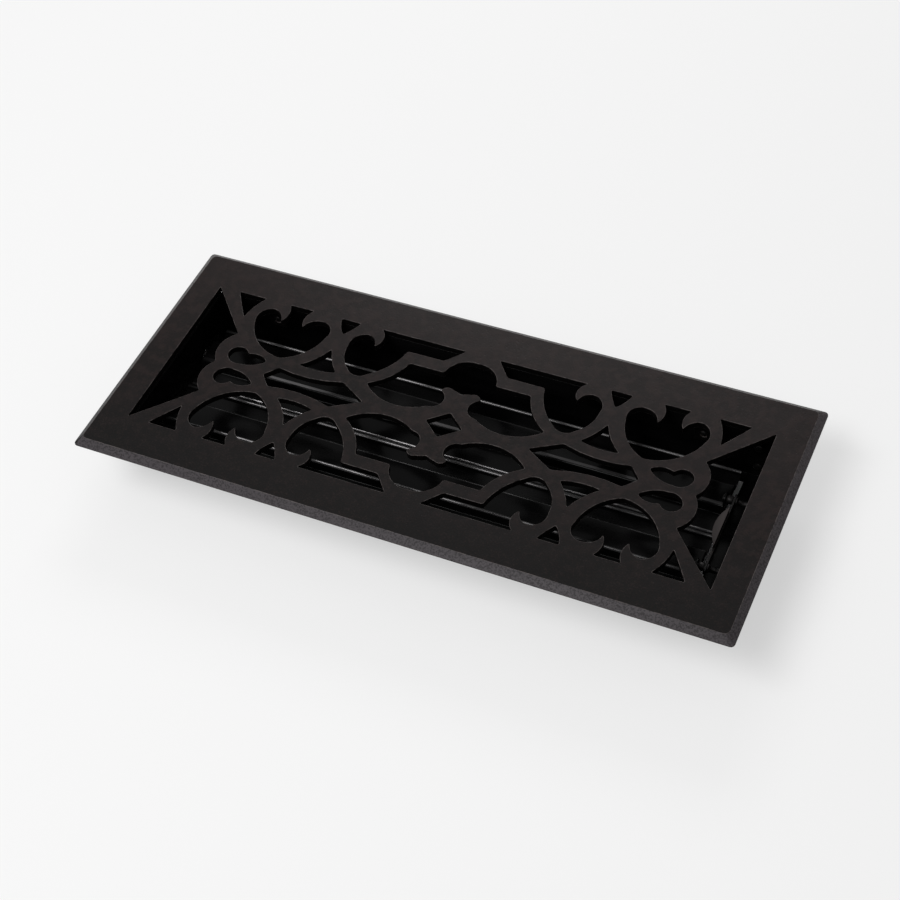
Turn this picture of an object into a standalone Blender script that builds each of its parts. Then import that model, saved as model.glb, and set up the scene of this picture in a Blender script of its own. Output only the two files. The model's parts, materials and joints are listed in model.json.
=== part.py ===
"""Cast iron floor register with a folded sheet damper box and two coupled louvers.

The face is one casting: a bevelled plate pierced by mirrored hearts, lenses and scrolls.
A shallow box of folded sheet hangs from four lugs under it. Two ribbed louvers turn in the
box on pivot pins, and a link with a finger tab joins their cranks, so both turn together.
X runs along the plate, Y across it and Z up through its face. The origin is the middle of
the box's lower edge, and the louvers are shut.
"""
from math import atan2, ceil, cos, hypot, pi, sin, tau

import bmesh
import bpy

# Faceplate casting, metres
PLATE_LENGTH = 0.3397
PLATE_WIDTH = 0.1429
PLATE_THICKNESS = 0.0036
PLATE_CORNER_RADIUS = 0.0020
CORNER_EASE = 0.0012
RIM_BEVEL_WIDTH = 0.0051
RIM_BEVEL_DROP = 0.0028
END_BORDER = 0.01855
SIDE_BORDER = 0.02335
LUG_LENGTH = 0.0090
LUG_DEPTH = 0.0040
LUG_DROP = 0.0100
LUG_PLACE_SHARE = 0.77

# Damper box of folded sheet
BOX_SHEET = 0.0008
BOX_BEND_RADIUS = 0.0009
BOX_FLANGE = 0.0060
BOX_SKIRT = 0.0112
END_INSET = 0.0005
CORNER_TAB = 0.0120
RIVET_SETBACK = 0.0073
RIVET_HEIGHT_SHARES = (0.28, 0.72)
RIVET_RADIUS = 0.0013
RIVET_HEAD_RADIUS = 0.0024
RIVET_HEAD_HEIGHT = 0.0009
SCREW_RADIUS = 0.00175
SCREW_HEAD_RADIUS = 0.0034
SCREW_HEAD_HEIGHT = 0.0014
SCREW_DROP = 0.0056

# Louvers
LOUVER_SHEET = 0.0007
LOUVER_SIDE_GAP = 0.0074
LOUVER_MIDDLE_GAP = 0.0014
LOUVER_LEFT_GAP = 0.0030
LOUVER_RIGHT_GAP = 0.0130
SWING_CLEARANCE = 0.0002
WING_DROP = 0.0017
RIB_RISE = 0.0033
RIB_TOP_WIDTH = 0.0142
RIB_FOOT_WIDTH = 0.0162
FOLD_RADIUS = 0.0010
HEM_RADIUS = 0.0009
EAR_SHEET = 0.0008
EAR_INSET = 0.0002
PIVOT_RADIUS = 0.0016
PIVOT_HEAD_RADIUS = 0.0024
PIVOT_HEAD_HEIGHT = 0.0007
PIVOT_COLLAR_LENGTH = 0.0015
PIVOT_END_REACH = 0.0005

# Crank, link and finger tab
CRANK_FORWARD = 0.0042
CRANK_RISE = 0.0062
CRANK_PIN_RADIUS = 0.0014
CRANK_HEAD_RADIUS = 0.0022
CRANK_HEAD_HEIGHT = 0.0008
CRANK_SHOULDER_RADIUS = 0.0021
HORN_RADIUS = 0.0032
LINK_SHEET = 0.0010
LINK_HEIGHT = 0.0045
LINK_OVERHANG = 0.0035
LINK_STANDOFF = 0.0034
TAB_LENGTH = 0.0220
TAB_RISE = 0.0060

# Clearances between pieces, and the overrun of every cutter
SEAT_GAP = 0.0003
RUNNING_CLEARANCE = 0.0003
OPEN_PIVOT_CLEARANCE = 0.0004
END_CLEARANCE = 0.0006
OVERRUN = 0.0010
WELD_DISTANCE = 0.000001

# Faceting
ARC_STEP = pi / 22
SHARP_TURN = pi / 8
EASE_STEPS = 4
TURNED_STEPS = 16
BEND_STEPS = 3
HEM_STEPS = 7
DOME_STEPS = 3

# Grille outlines as shares of the opening's half length and half width. A pair is a corner
# reached by a straight edge, and four numbers are an arc: a point on its way, then its end.
CORNER_TRIANGLE_SHARES = [
    (0.816, 1.0), (0.922, 1.0),
    (0.890, 0.849, 0.851, 0.676),
    (0.840, 0.846, 0.816, 1.0),
]
HEART_SHARES = [
    (0.643, 0.263),
    (0.756, 0.416, 0.806, 0.683),
    (0.796, 0.843, 0.767, 0.891),
    (0.740, 0.855, 0.720, 0.748),
    (0.708, 0.846, 0.722, 1.0), (0.631, 1.0),
    (0.647, 0.846, 0.635, 0.743),
    (0.620, 0.841, 0.586, 0.887),
    (0.546, 0.846, 0.537, 0.698),
    (0.562, 0.475, 0.643, 0.263),
]
UPPER_TRIANGLE_SHARES = [
    (0.450, 1.0), (0.524, 1.0),
    (0.509, 0.882, 0.488, 0.793),
    (0.470, 0.879, 0.450, 1.0),
]
MIDDLE_TRIANGLE_SHARES = [
    (0.493, 0.558),
    (0.521, 0.395, 0.566, 0.247),
    (0.501, 0.232, 0.434, 0.270),
    (0.469, 0.410, 0.493, 0.558),
]
HALF_HEART_SHARES = [
    (0.060, 1.0), (0.114, 0.802), (0.246, 0.799),
    (0.279, 0.535, 0.331, 0.362),
    (0.368, 0.309, 0.404, 0.368),
    (0.438, 0.505, 0.449, 0.683),
    (0.436, 0.832, 0.403, 0.879),
    (0.378, 0.841, 0.364, 0.748),
    (0.349, 0.832, 0.371, 1.0),
]
TEARDROP_SHARES = [
    (0.677, 0.166),
    (0.713, 0.226, 0.752, 0.205),
    (0.789, 0.267, 0.821, 0.178),
    (0.798, 0.059, 0.765, 0.045),
    (0.718, 0.074, 0.677, 0.166),
]
# These start and end on the middle lines that they are mirrored across
LENS_SHARES = [
    (0.0, 0.881),
    (0.066, 0.817, 0.092, 0.653), (0.216, 0.653),
    (0.251, 0.428, 0.315, 0.252),
    (0.200, 0.080, 0.085, 0.178),
    (0.045, 0.276, 0.070, 0.416),
    (0.057, 0.469, 0.033, 0.463),
    (0.014, 0.448, 0.0, 0.425),
]
END_SHARES = [
    (1.0, 1.0), (0.830, 0.429),
    (0.866, 0.232, 0.843, 0.0),
]
SPINDLE_SHARES = [
    (0.292, 0.0), (0.390, 0.178),
    (0.538, 0.107, 0.622, 0.137), (0.661, 0.0),
]
DIAMOND_SHARES = [(0.064, 0.0), (0.0, 0.170)]

# Places worked out from the sizes above
OPENING_HALF_LENGTH = PLATE_LENGTH / 2 - END_BORDER
OPENING_HALF_WIDTH = PLATE_WIDTH / 2 - SIDE_BORDER
WALL_X = OPENING_HALF_LENGTH - END_INSET
WALL_Y = OPENING_HALF_WIDTH
LOUVER_WIDTH = WALL_Y - LOUVER_SIDE_GAP - LOUVER_MIDDLE_GAP / 2
LOUVER_PITCH = LOUVER_WIDTH + LOUVER_MIDDLE_GAP
PIVOT_Z = BOX_SKIRT
UNDERSIDE_Z = PIVOT_Z + LOUVER_WIDTH / 2 + SWING_CLEARANCE
FACE_Z = UNDERSIDE_Z + PLATE_THICKNESS
WALL_TOP = UNDERSIDE_Z - SEAT_GAP
END_FOOT = BOX_SHEET + SEAT_GAP
SCREW_Z = UNDERSIDE_Z - SCREW_DROP
LOUVER_LEFT = -WALL_X + LOUVER_LEFT_GAP
LOUVER_RIGHT = WALL_X - LOUVER_RIGHT_GAP
RIGHT_EAR_X = LOUVER_RIGHT - EAR_INSET - EAR_SHEET / 2
LEFT_EAR_X = LOUVER_LEFT + EAR_INSET + EAR_SHEET / 2
LINK_X = LOUVER_RIGHT + LINK_STANDOFF + LINK_SHEET / 2
SIDES = (("front", -1), ("rear", 1))
ENDS = (("left", -1), ("right", 1))

# Turns that lay a local Z axis, or a flat outline, along a world axis
ALONG_X = (0.0, pi / 2, 0.0)
ALONG_MINUS_X = (0.0, -pi / 2, 0.0)
ALONG_Y = (-pi / 2, 0.0, 0.0)
ALONG_MINUS_Y = (pi / 2, 0.0, 0.0)
OUTLINE_ACROSS_X = (pi / 2, 0.0, pi / 2)


def clear_scene():
    """Remove every object that the scene starts with."""
    for obj in list(bpy.data.objects):
        bpy.data.objects.remove(obj, do_unlink=True)


def new_collection(name):
    """Add a collection to the scene."""
    group = bpy.data.collections.new(name)
    bpy.context.scene.collection.children.link(group)
    return group


def new_material(name, colour, roughness, metallic):
    """Make a Principled material."""
    material = bpy.data.materials.new(name)
    material.use_nodes = True
    shader = material.node_tree.nodes["Principled BSDF"]
    shader.inputs["Base Color"].default_value = (*colour, 1.0)
    shader.inputs["Roughness"].default_value = roughness
    shader.inputs["Metallic"].default_value = metallic
    return material


def add_object(name, data, group, material=None):
    """Link a new object, with its material, into a collection."""
    obj = bpy.data.objects.new(name, data)
    group.objects.link(obj)
    if material is not None:
        data.materials.append(material)
    return obj


def arc_points(start, via, end):
    """Return the points of the circle's arc from start through via to end, without start."""
    (ax, ay), (bx, by), (cx, cy) = start, via, end
    twice_area = 2 * (ax * (by - cy) + bx * (cy - ay) + cx * (ay - by))
    a2, b2, c2 = ax * ax + ay * ay, bx * bx + by * by, cx * cx + cy * cy
    mx = (a2 * (by - cy) + b2 * (cy - ay) + c2 * (ay - by)) / twice_area
    my = (a2 * (cx - bx) + b2 * (ax - cx) + c2 * (bx - ax)) / twice_area
    radius = hypot(ax - mx, ay - my)
    first = atan2(ay - my, ax - mx)
    sweep = (atan2(cy - my, cx - mx) - first) % tau
    passed = (atan2(by - my, bx - mx) - first) % tau
    if passed > sweep:
        sweep -= tau
    count = max(3, ceil(abs(sweep) / ARC_STEP))
    turns = [first + sweep * step / count for step in range(1, count)]
    return [(mx + radius * cos(turn), my + radius * sin(turn)) for turn in turns] + [end]


def trace(shares):
    """Turn an outline's shares into points in metres."""
    points = []
    for share in shares:
        scaled = [value * (OPENING_HALF_WIDTH if index % 2 else OPENING_HALF_LENGTH)
                  for index, value in enumerate(share)]
        end = (scaled[-2], scaled[-1])
        points += [end] if len(scaled) == 2 else arc_points(points[-1], tuple(scaled[:2]), end)
    return points


def flipped(points, along, across):
    """Mirror points by a sign for each axis."""
    return [(x * along, y * across) for x, y in points]


def joined(points, twin):
    """Close an outline with its mirrored twin, and keep points on the middle line once."""
    outline = list(points)
    for point in reversed(twin):
        if hypot(point[0] - outline[-1][0], point[1] - outline[-1][1]) > WELD_DISTANCE:
            outline.append(point)
    return opened(outline)


def opened(outline):
    """Drop an end point that repeats the first, because the spline closes itself."""
    (x0, y0), (x1, y1) = outline[0], outline[-1]
    return outline[:-1] if hypot(x1 - x0, y1 - y0) <= WELD_DISTANCE else outline


def turn_at(outline, index):
    """Return how far an outline turns at one of its points."""
    (ax, ay), (bx, by) = outline[index - 1], outline[index]
    cx, cy = outline[(index + 1) % len(outline)]
    turn = atan2(cy - by, cx - bx) - atan2(by - ay, bx - ax)
    return abs((turn + pi) % tau - pi)


def point_along(outline, marks, distance):
    """Return the point at a distance along a closed outline."""
    distance %= marks[-1]
    index = max(number for number, mark in enumerate(marks[:-1]) if mark <= distance)
    (ax, ay), (bx, by) = outline[index], outline[(index + 1) % len(outline)]
    share = (distance - marks[index]) / (marks[index + 1] - marks[index])
    return (ax + (bx - ax) * share, ay + (by - ay) * share)


def eased(outline):
    """Round the sharp corners of an outline, as a sand casting's corners are."""
    marks = [0.0]
    for (ax, ay), (bx, by) in zip(outline, outline[1:] + outline[:1]):
        marks.append(marks[-1] + hypot(bx - ax, by - ay))
    sharp = [index for index in range(len(outline)) if turn_at(outline, index) > SHARP_TURN]
    ahead = [(marks[after] - marks[index] - WELD_DISTANCE) % marks[-1]
             for index, after in zip(sharp, sharp[1:] + sharp[:1])]
    reach = [min(CORNER_EASE, 0.4 * ahead[order], 0.4 * ahead[order - 1])
             for order in range(len(sharp))]
    result = []
    for order, index in enumerate(sharp):
        ax, ay = point_along(outline, marks, marks[index] - reach[order])
        bx, by = outline[index]
        cx, cy = point_along(outline, marks, marks[index] + reach[order])
        for share in (step / EASE_STEPS for step in range(EASE_STEPS + 1)):
            back, middle, on = (1 - share) ** 2, 2 * share * (1 - share), share ** 2
            result.append((back * ax + middle * bx + on * cx, back * ay + middle * by + on * cy))
        last = ahead[order] - reach[(order + 1) % len(sharp)]
        passed = [(marks[number] - marks[index]) % marks[-1] for number in range(len(outline))]
        between = [(gone, number) for number, gone in enumerate(passed)
                   if reach[order] + 2 * WELD_DISTANCE < gone < last - 2 * WELD_DISTANCE]
        result += [outline[number] for _, number in sorted(between)]
    return result


def grille_openings():
    """Return the outline of every opening in the casting."""
    outlines = []
    quarter = (CORNER_TRIANGLE_SHARES, HEART_SHARES, UPPER_TRIANGLE_SHARES,
               MIDDLE_TRIANGLE_SHARES, HALF_HEART_SHARES, TEARDROP_SHARES)
    for shares in quarter:
        points = opened(trace(shares))
        outlines += [flipped(points, along, across) for along in (-1, 1) for across in (-1, 1)]
    for shares in (END_SHARES, SPINDLE_SHARES):
        half = trace(shares)
        whole = joined(half, flipped(half, 1, -1))
        outlines += [flipped(whole, along, 1) for along in (-1, 1)]
    half = trace(LENS_SHARES)
    whole = joined(half, flipped(half, -1, 1))
    outlines += [flipped(whole, 1, across) for across in (-1, 1)]
    (x, _), (_, y) = trace(DIAMOND_SHARES)
    outlines.append([(x, 0.0), (0.0, y), (-x, 0.0), (0.0, -y)])
    return [eased(outline) for outline in outlines]


def flat_mesh(name, outlines, thickness, group, location, rotation=(0.0, 0.0, 0.0)):
    """Extrude flat outlines about their plane and return the welded mesh object."""
    curve = bpy.data.curves.new(name, "CURVE")
    curve.dimensions = "2D"
    curve.fill_mode = "BOTH"
    curve.extrude = thickness / 2
    for outline in outlines:
        spline = curve.splines.new("POLY")
        spline.points.add(len(outline) - 1)
        for point, (x, y) in zip(spline.points, outline):
            point.co = (x, y, 0.0, 1.0)
        spline.use_cyclic_u = True
    source = add_object(name + "_outline", curve, group)
    source.location = location
    source.rotation_euler = rotation
    bpy.context.view_layer.update()
    evaluated = source.evaluated_get(bpy.context.evaluated_depsgraph_get())
    mesh = bpy.data.meshes.new_from_object(evaluated)
    mesh.name = name
    tidy_mesh(mesh)
    solid = add_object(name, mesh, group)
    solid.matrix_world = source.matrix_world
    bpy.data.objects.remove(source, do_unlink=True)
    return solid


def tidy_mesh(mesh):
    """Weld a mesh's caps to its sides and point its faces outwards."""
    shape = bmesh.new()
    shape.from_mesh(mesh)
    bmesh.ops.remove_doubles(shape, verts=shape.verts, dist=WELD_DISTANCE)
    bmesh.ops.recalc_face_normals(shape, faces=shape.faces)
    shape.to_mesh(mesh)
    shape.free()


def block(name, size, centre, group):
    """Make a box from a cube primitive."""
    mesh = bpy.data.meshes.new(name)
    shape = bmesh.new()
    bmesh.ops.create_cube(shape, size=1.0)
    bmesh.ops.scale(shape, vec=size, verts=shape.verts)
    shape.to_mesh(mesh)
    shape.free()
    solid = add_object(name, mesh, group)
    solid.location = centre
    return solid


def rod(name, radius, length, centre, rotation, group):
    """Make a cylinder from a cone primitive."""
    mesh = bpy.data.meshes.new(name)
    shape = bmesh.new()
    bmesh.ops.create_cone(shape, cap_ends=True, segments=TURNED_STEPS, radius1=radius,
                          radius2=radius, depth=length)
    shape.to_mesh(mesh)
    shape.free()
    solid = add_object(name, mesh, group)
    solid.location = centre
    solid.rotation_euler = rotation
    return solid


def combine(target, tool, operation):
    """Join or cut a solid with a tool, which is then drawn as wire and not rendered."""
    tool.hide_render = True
    tool.display_type = "WIRE"
    step = target.modifiers.new(tool.name, "BOOLEAN")
    step.operation = operation
    step.solver = "EXACT"
    step.object = tool


def folded_sheet(name, path, start, end, thickness, group, rotation=(0.0, 0.0, 0.0)):
    """Draw a bent strip along its local X axis and give the sheet its thickness."""
    mesh = bpy.data.meshes.new(name)
    shape = bmesh.new()
    corners = [shape.verts.new((start, y, z)) for y, z in path]
    edges = [shape.edges.new(pair) for pair in zip(corners, corners[1:])]
    drawn = bmesh.ops.extrude_edge_only(shape, edges=edges)["geom"]
    moved = [item for item in drawn if isinstance(item, bmesh.types.BMVert)]
    bmesh.ops.translate(shape, vec=(end - start, 0.0, 0.0), verts=moved)
    shape.to_mesh(mesh)
    shape.free()
    sheet = add_object(name, mesh, group)
    sheet.rotation_euler = rotation
    wall = sheet.modifiers.new("sheet", "SOLIDIFY")
    wall.thickness = thickness
    wall.offset = 0.0
    wall.use_even_offset = True
    return sheet


def bend(before, corner, after, radius):
    """Return the points of a rounded bend at the corner between two straight runs."""
    (px, py), (qx, qy), (rx, ry) = before, corner, after
    back, on = hypot(px - qx, py - qy), hypot(rx - qx, ry - qy)
    ux, uy = (px - qx) / back, (py - qy) / back
    vx, vy = (rx - qx) / on, (ry - qy) / on
    half = atan2(abs(ux * vy - uy * vx), ux * vx + uy * vy) / 2
    reach = radius * cos(half) / sin(half)
    span = radius / sin(half)
    length = hypot(ux + vx, uy + vy)
    mx, my = qx + (ux + vx) / length * span, qy + (uy + vy) / length * span
    first = atan2(qy + uy * reach - my, qx + ux * reach - mx)
    sweep = atan2(qy + vy * reach - my, qx + vx * reach - mx) - first
    sweep = (sweep + pi) % tau - pi
    turns = [first + sweep * step / BEND_STEPS for step in range(BEND_STEPS + 1)]
    return [(mx + radius * cos(turn), my + radius * sin(turn)) for turn in turns]


def bent_path(corners, radius):
    """Round every inner corner of a path."""
    path = [corners[0]]
    for before, corner, after in zip(corners, corners[1:], corners[2:]):
        path += bend(before, corner, after, radius)
    return path + [corners[-1]]


def turned(name, profile, centre, rotation, group, material):
    """Turn a profile of (radius, height) pairs, from its lower end up, about local Z."""
    mesh = bpy.data.meshes.new(name)
    shape = bmesh.new()
    points = [(0.0, profile[0][1]), *profile, (0.0, profile[-1][1])]
    corners = [shape.verts.new((radius, 0.0, height)) for radius, height in reversed(points)]
    for pair in zip(corners, corners[1:]):
        shape.edges.new(pair)
    shape.to_mesh(mesh)
    shape.free()
    piece = add_object(name, mesh, group, material)
    piece.location = centre
    piece.rotation_euler = rotation
    lathe = piece.modifiers.new("turn", "SCREW")
    lathe.steps = TURNED_STEPS
    lathe.render_steps = TURNED_STEPS
    lathe.use_merge_vertices = True
    lathe.merge_threshold = WELD_DISTANCE
    lathe.use_smooth_shade = True
    return piece


def dome(radius, height, base, rise):
    """Return a domed head's profile from its base, upwards for a rise of 1, downwards for -1."""
    turns = [pi / 2 * step / DOME_STEPS for step in range(DOME_STEPS)]
    return [(radius * cos(turn), base + rise * height * sin(turn)) for turn in turns]


def bevelled_plate(group):
    """Make the plate's slab: round corners, an upright land and a sloping rim."""
    mesh = bpy.data.meshes.new("faceplate")
    shape = bmesh.new()
    land = PLATE_THICKNESS - RIM_BEVEL_DROP
    bmesh.ops.create_cube(shape, size=1.0)
    bmesh.ops.scale(shape, vec=(PLATE_LENGTH, PLATE_WIDTH, land), verts=shape.verts)
    bmesh.ops.translate(shape, vec=(0.0, 0.0, land / 2), verts=shape.verts)
    top = [face for face in shape.faces if face.normal.z > 0.5]
    bmesh.ops.inset_region(shape, faces=top, thickness=RIM_BEVEL_WIDTH, depth=RIM_BEVEL_DROP)
    corners = [edge for edge in shape.edges
               if edge.verts[0].co.x * edge.verts[1].co.x > 0.0
               and edge.verts[0].co.y * edge.verts[1].co.y > 0.0]
    bmesh.ops.bevel(shape, geom=corners, offset=PLATE_CORNER_RADIUS, segments=BEND_STEPS,
                    profile=0.5, affect="EDGES")
    shape.to_mesh(mesh)
    shape.free()
    plate = add_object("faceplate", mesh, group)
    plate.location = (0.0, 0.0, UNDERSIDE_Z)
    return plate


def lug_places():
    """Return the middle of each cast lug, with the sign of its side."""
    x = LUG_PLACE_SHARE * OPENING_HALF_LENGTH
    y = WALL_Y - SEAT_GAP - LUG_DEPTH / 2
    return [(end, side, along * x, across * y) for end, along in ENDS for side, across in SIDES]


def make_faceplate(parts, cutters, material):
    """Make the casting: the pierced plate with its four lugs underneath."""
    plate = bevelled_plate(parts)
    plate.data.materials.append(material)
    openings = flat_mesh("grille_openings", grille_openings(), PLATE_THICKNESS + 2 * OVERRUN,
                         cutters, (0.0, 0.0, UNDERSIDE_Z + PLATE_THICKNESS / 2))
    combine(plate, openings, "DIFFERENCE")
    for end, side, x, y in lug_places():
        size = (LUG_LENGTH, LUG_DEPTH, LUG_DROP + OVERRUN)
        centre = (x, y, UNDERSIDE_Z + OVERRUN - size[2] / 2)
        combine(plate, block(f"lug_{end}_{side}", size, centre, cutters), "UNION")
        hole = rod(f"lug_hole_{end}_{side}", SCREW_RADIUS + SEAT_GAP, LUG_DEPTH + 2 * OVERRUN,
                   (x, y, SCREW_Z), ALONG_Y, cutters)
        combine(plate, hole, "DIFFERENCE")
    return plate


def rivet_places():
    """Return the height and the distance along X of each corner rivet."""
    x = WALL_X - RIVET_SETBACK
    return [(x, share * WALL_TOP) for share in RIVET_HEIGHT_SHARES]


def make_side_wall(side, across, parts, cutters, material):
    """Fold one long wall: a flat side with a narrow flange turned in at its foot."""
    middle = across * (WALL_Y + BOX_SHEET / 2)
    foot = BOX_SHEET / 2
    path = bent_path([(middle, WALL_TOP), (middle, foot), (middle - across * BOX_FLANGE, foot)],
                     BOX_BEND_RADIUS)
    end = WALL_X + BOX_SHEET
    wall = folded_sheet(f"box_{side}_wall", path, -end, end, BOX_SHEET, parts)
    wall.data.materials.append(material)
    for name, along in ENDS:
        for number, (x, z) in enumerate(rivet_places(), 1):
            hole = rod(f"wall_rivet_hole_{name}_{side}_{number}", RIVET_RADIUS + SEAT_GAP,
                       BOX_SHEET + 2 * OVERRUN, (along * x, middle, z), ALONG_Y, cutters)
            combine(wall, hole, "DIFFERENCE")
        hole = rod(f"wall_screw_hole_{name}_{side}", SCREW_RADIUS + SEAT_GAP,
                   BOX_SHEET + 2 * OVERRUN,
                   (along * LUG_PLACE_SHARE * OPENING_HALF_LENGTH, middle, SCREW_Z), ALONG_Y, cutters)
        combine(wall, hole, "DIFFERENCE")
    return wall


def make_end_wall(end, along, parts, cutters, material):
    """Fold one end wall: a web, a tab at each side and a foot that reaches to the louvers."""
    web = along * (WALL_X + BOX_SHEET / 2)
    side = WALL_Y - SEAT_GAP - BOX_SHEET / 2
    tip = web - along * CORNER_TAB
    # The path lies in the XY plane, and the turn stands its length upright
    path = bent_path([(side, tip), (side, web), (-side, web), (-side, tip)], BOX_BEND_RADIUS)
    level = END_FOOT + BOX_SHEET / 2
    wall = folded_sheet(f"box_{end}_wall", path, -WALL_TOP, -level, BOX_SHEET, parts, ALONG_X)
    wall.data.materials.append(material)
    edge = LOUVER_LEFT - END_CLEARANCE if along < 0 else LOUVER_RIGHT + END_CLEARANCE
    foot = block(f"end_foot_{end}", (abs(web - edge), 2 * side, BOX_SHEET),
                 ((web + edge) / 2, 0.0, level), cutters)
    combine(wall, foot, "UNION")
    for name, across in SIDES:
        for number, (x, z) in enumerate(rivet_places(), 1):
            hole = rod(f"tab_rivet_hole_{end}_{name}_{number}", RIVET_RADIUS + SEAT_GAP,
                       BOX_SHEET + 2 * OVERRUN, (along * x, across * side, z), ALONG_Y, cutters)
            combine(wall, hole, "DIFFERENCE")
        hole = rod(f"pivot_hole_{end}_{name}", PIVOT_RADIUS + RUNNING_CLEARANCE,
                   BOX_SHEET + 2 * OVERRUN, (web, across * LOUVER_PITCH / 2, PIVOT_Z),
                   ALONG_X, cutters)
        combine(wall, hole, "DIFFERENCE")
    return wall


def make_corner_rivets(parts, material):
    """Set two rivets in each corner, with a dome outside the wall and one inside its tab."""
    inner = WALL_Y - 2 * SEAT_GAP - BOX_SHEET
    outer = WALL_Y + BOX_SHEET + SEAT_GAP
    profile = list(reversed(dome(RIVET_HEAD_RADIUS, RIVET_HEAD_HEIGHT, inner, -1)))
    profile = [(profile[0][0], profile[0][1])] + profile[1:]
    profile += [(RIVET_RADIUS, inner), (RIVET_RADIUS, outer)]
    profile += dome(RIVET_HEAD_RADIUS, RIVET_HEAD_HEIGHT, outer, 1)
    for end, along in ENDS:
        for side, across in SIDES:
            turn = ALONG_Y if across > 0 else ALONG_MINUS_Y
            for number, (x, z) in enumerate(rivet_places(), 1):
                turned(f"corner_rivet_{end}_{side}_{number}", profile, (along * x, 0.0, z), turn,
                       parts, material)


def make_box_screws(parts, material):
    """Drive one screw through each wall into its lug."""
    tip = WALL_Y - SEAT_GAP - LUG_DEPTH
    seat = WALL_Y + BOX_SHEET + SEAT_GAP
    profile = [(SCREW_RADIUS, tip), (SCREW_RADIUS, seat)]
    profile += dome(SCREW_HEAD_RADIUS, SCREW_HEAD_HEIGHT, seat, 1)
    for end, side, x, y in lug_places():
        turn = ALONG_Y if y > 0 else ALONG_MINUS_Y
        turned(f"box_screw_{end}_{side}", profile, (x, 0.0, SCREW_Z), turn, parts, material)


def hem(edge, height, outward, upward):
    """Return a rolled hem's points, from its free lip round to the sheet's edge."""
    centre_y = edge - outward * (HEM_RADIUS + LOUVER_SHEET / 2)
    centre_z = height + upward * HEM_RADIUS
    turns = [pi * 1.35 * (1 - step / HEM_STEPS) for step in range(HEM_STEPS + 1)]
    return [(centre_y + outward * HEM_RADIUS * sin(turn), centre_z - upward * HEM_RADIUS * cos(turn))
            for turn in turns]


def louver_section():
    """Return the louver's bent section about its pivot, front edge first."""
    half, top, foot = LOUVER_WIDTH / 2, RIB_TOP_WIDTH / 2, RIB_FOOT_WIDTH / 2
    front_hem = hem(-half, -WING_DROP, -1, -1)
    rear_hem = hem(half, -WING_DROP, 1, 1)
    middle = bent_path([front_hem[-1], (-foot, -WING_DROP), (-top, RIB_RISE), (top, RIB_RISE),
                        (foot, -WING_DROP), rear_hem[-1]], FOLD_RADIUS)
    return front_hem[:-1] + middle + list(reversed(rear_hem))[1:]


def rib_cap_outline():
    """Return the outline that closes the rib's end, along the middle of its sheet."""
    top, foot = RIB_TOP_WIDTH / 2, RIB_FOOT_WIDTH / 2
    return [(-foot, -WING_DROP), (foot, -WING_DROP), (top, RIB_RISE), (-top, RIB_RISE)]


def crank_ear_outline():
    """Return the right ear's outline: the rib's end with a horn up to the crank pin."""
    top, foot = RIB_TOP_WIDTH / 2, RIB_FOOT_WIDTH / 2
    front, rear = -CRANK_FORWARD - HORN_RADIUS, -CRANK_FORWARD + HORN_RADIUS
    crown = arc_points((rear, CRANK_RISE), (-CRANK_FORWARD, CRANK_RISE + HORN_RADIUS),
                       (front, CRANK_RISE))
    return [(-foot, -WING_DROP), (foot, -WING_DROP), (top, RIB_RISE), (rear, RIB_RISE),
            (rear, CRANK_RISE), *crown]


def make_louver(side, across, parts, cutters, material):
    """Fold one louver about its pivot axis: rib, wings, hems and an ear at each end."""
    axis = (0.0, across * LOUVER_PITCH / 2, PIVOT_Z)
    blade = folded_sheet(f"louver_{side}", louver_section(), LOUVER_LEFT, LOUVER_RIGHT,
                         LOUVER_SHEET, parts)
    blade.data.materials.append(material)
    blade.location = axis
    ears = (("left", LEFT_EAR_X, rib_cap_outline()), ("right", RIGHT_EAR_X, crank_ear_outline()))
    for end, x, outline in ears:
        ear = flat_mesh(f"ear_{end}_{side}", [outline], EAR_SHEET, cutters,
                        (x, axis[1], axis[2]), OUTLINE_ACROSS_X)
        combine(blade, ear, "UNION")
        hole = rod(f"ear_hole_{end}_{side}", PIVOT_RADIUS + SEAT_GAP, EAR_SHEET + 2 * OVERRUN,
                   (x, axis[1], axis[2]), ALONG_X, cutters)
        combine(blade, hole, "DIFFERENCE")
    hole = rod(f"crank_hole_{side}", CRANK_PIN_RADIUS + SEAT_GAP, EAR_SHEET + 2 * OVERRUN,
               (RIGHT_EAR_X, axis[1] - CRANK_FORWARD, axis[2] + CRANK_RISE), ALONG_X, cutters)
    combine(blade, hole, "DIFFERENCE")
    return blade


def make_pivot_pins(side, blade, parts, material):
    """Turn the two pins that carry a louver: head inside its ear, collar against the wall."""
    for end, along in ENDS:
        ear = abs(LEFT_EAR_X if along < 0 else RIGHT_EAR_X)
        seat = ear - EAR_SHEET / 2 - SEAT_GAP
        collar = WALL_X - RUNNING_CLEARANCE - PIVOT_COLLAR_LENGTH
        profile = [(PIVOT_HEAD_RADIUS, seat - PIVOT_HEAD_HEIGHT), (PIVOT_HEAD_RADIUS, seat),
                   (PIVOT_RADIUS, seat), (PIVOT_RADIUS, collar), (PIVOT_HEAD_RADIUS, collar),
                   (PIVOT_HEAD_RADIUS, WALL_X - RUNNING_CLEARANCE),
                   (PIVOT_RADIUS, WALL_X - RUNNING_CLEARANCE),
                   (PIVOT_RADIUS, WALL_X + BOX_SHEET + PIVOT_END_REACH)]
        turn = ALONG_MINUS_X if along < 0 else ALONG_X
        pin = turned(f"pivot_pin_{end}_{side}", profile, (0.0, 0.0, 0.0), turn, parts, material)
        pin.parent = blade


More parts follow.
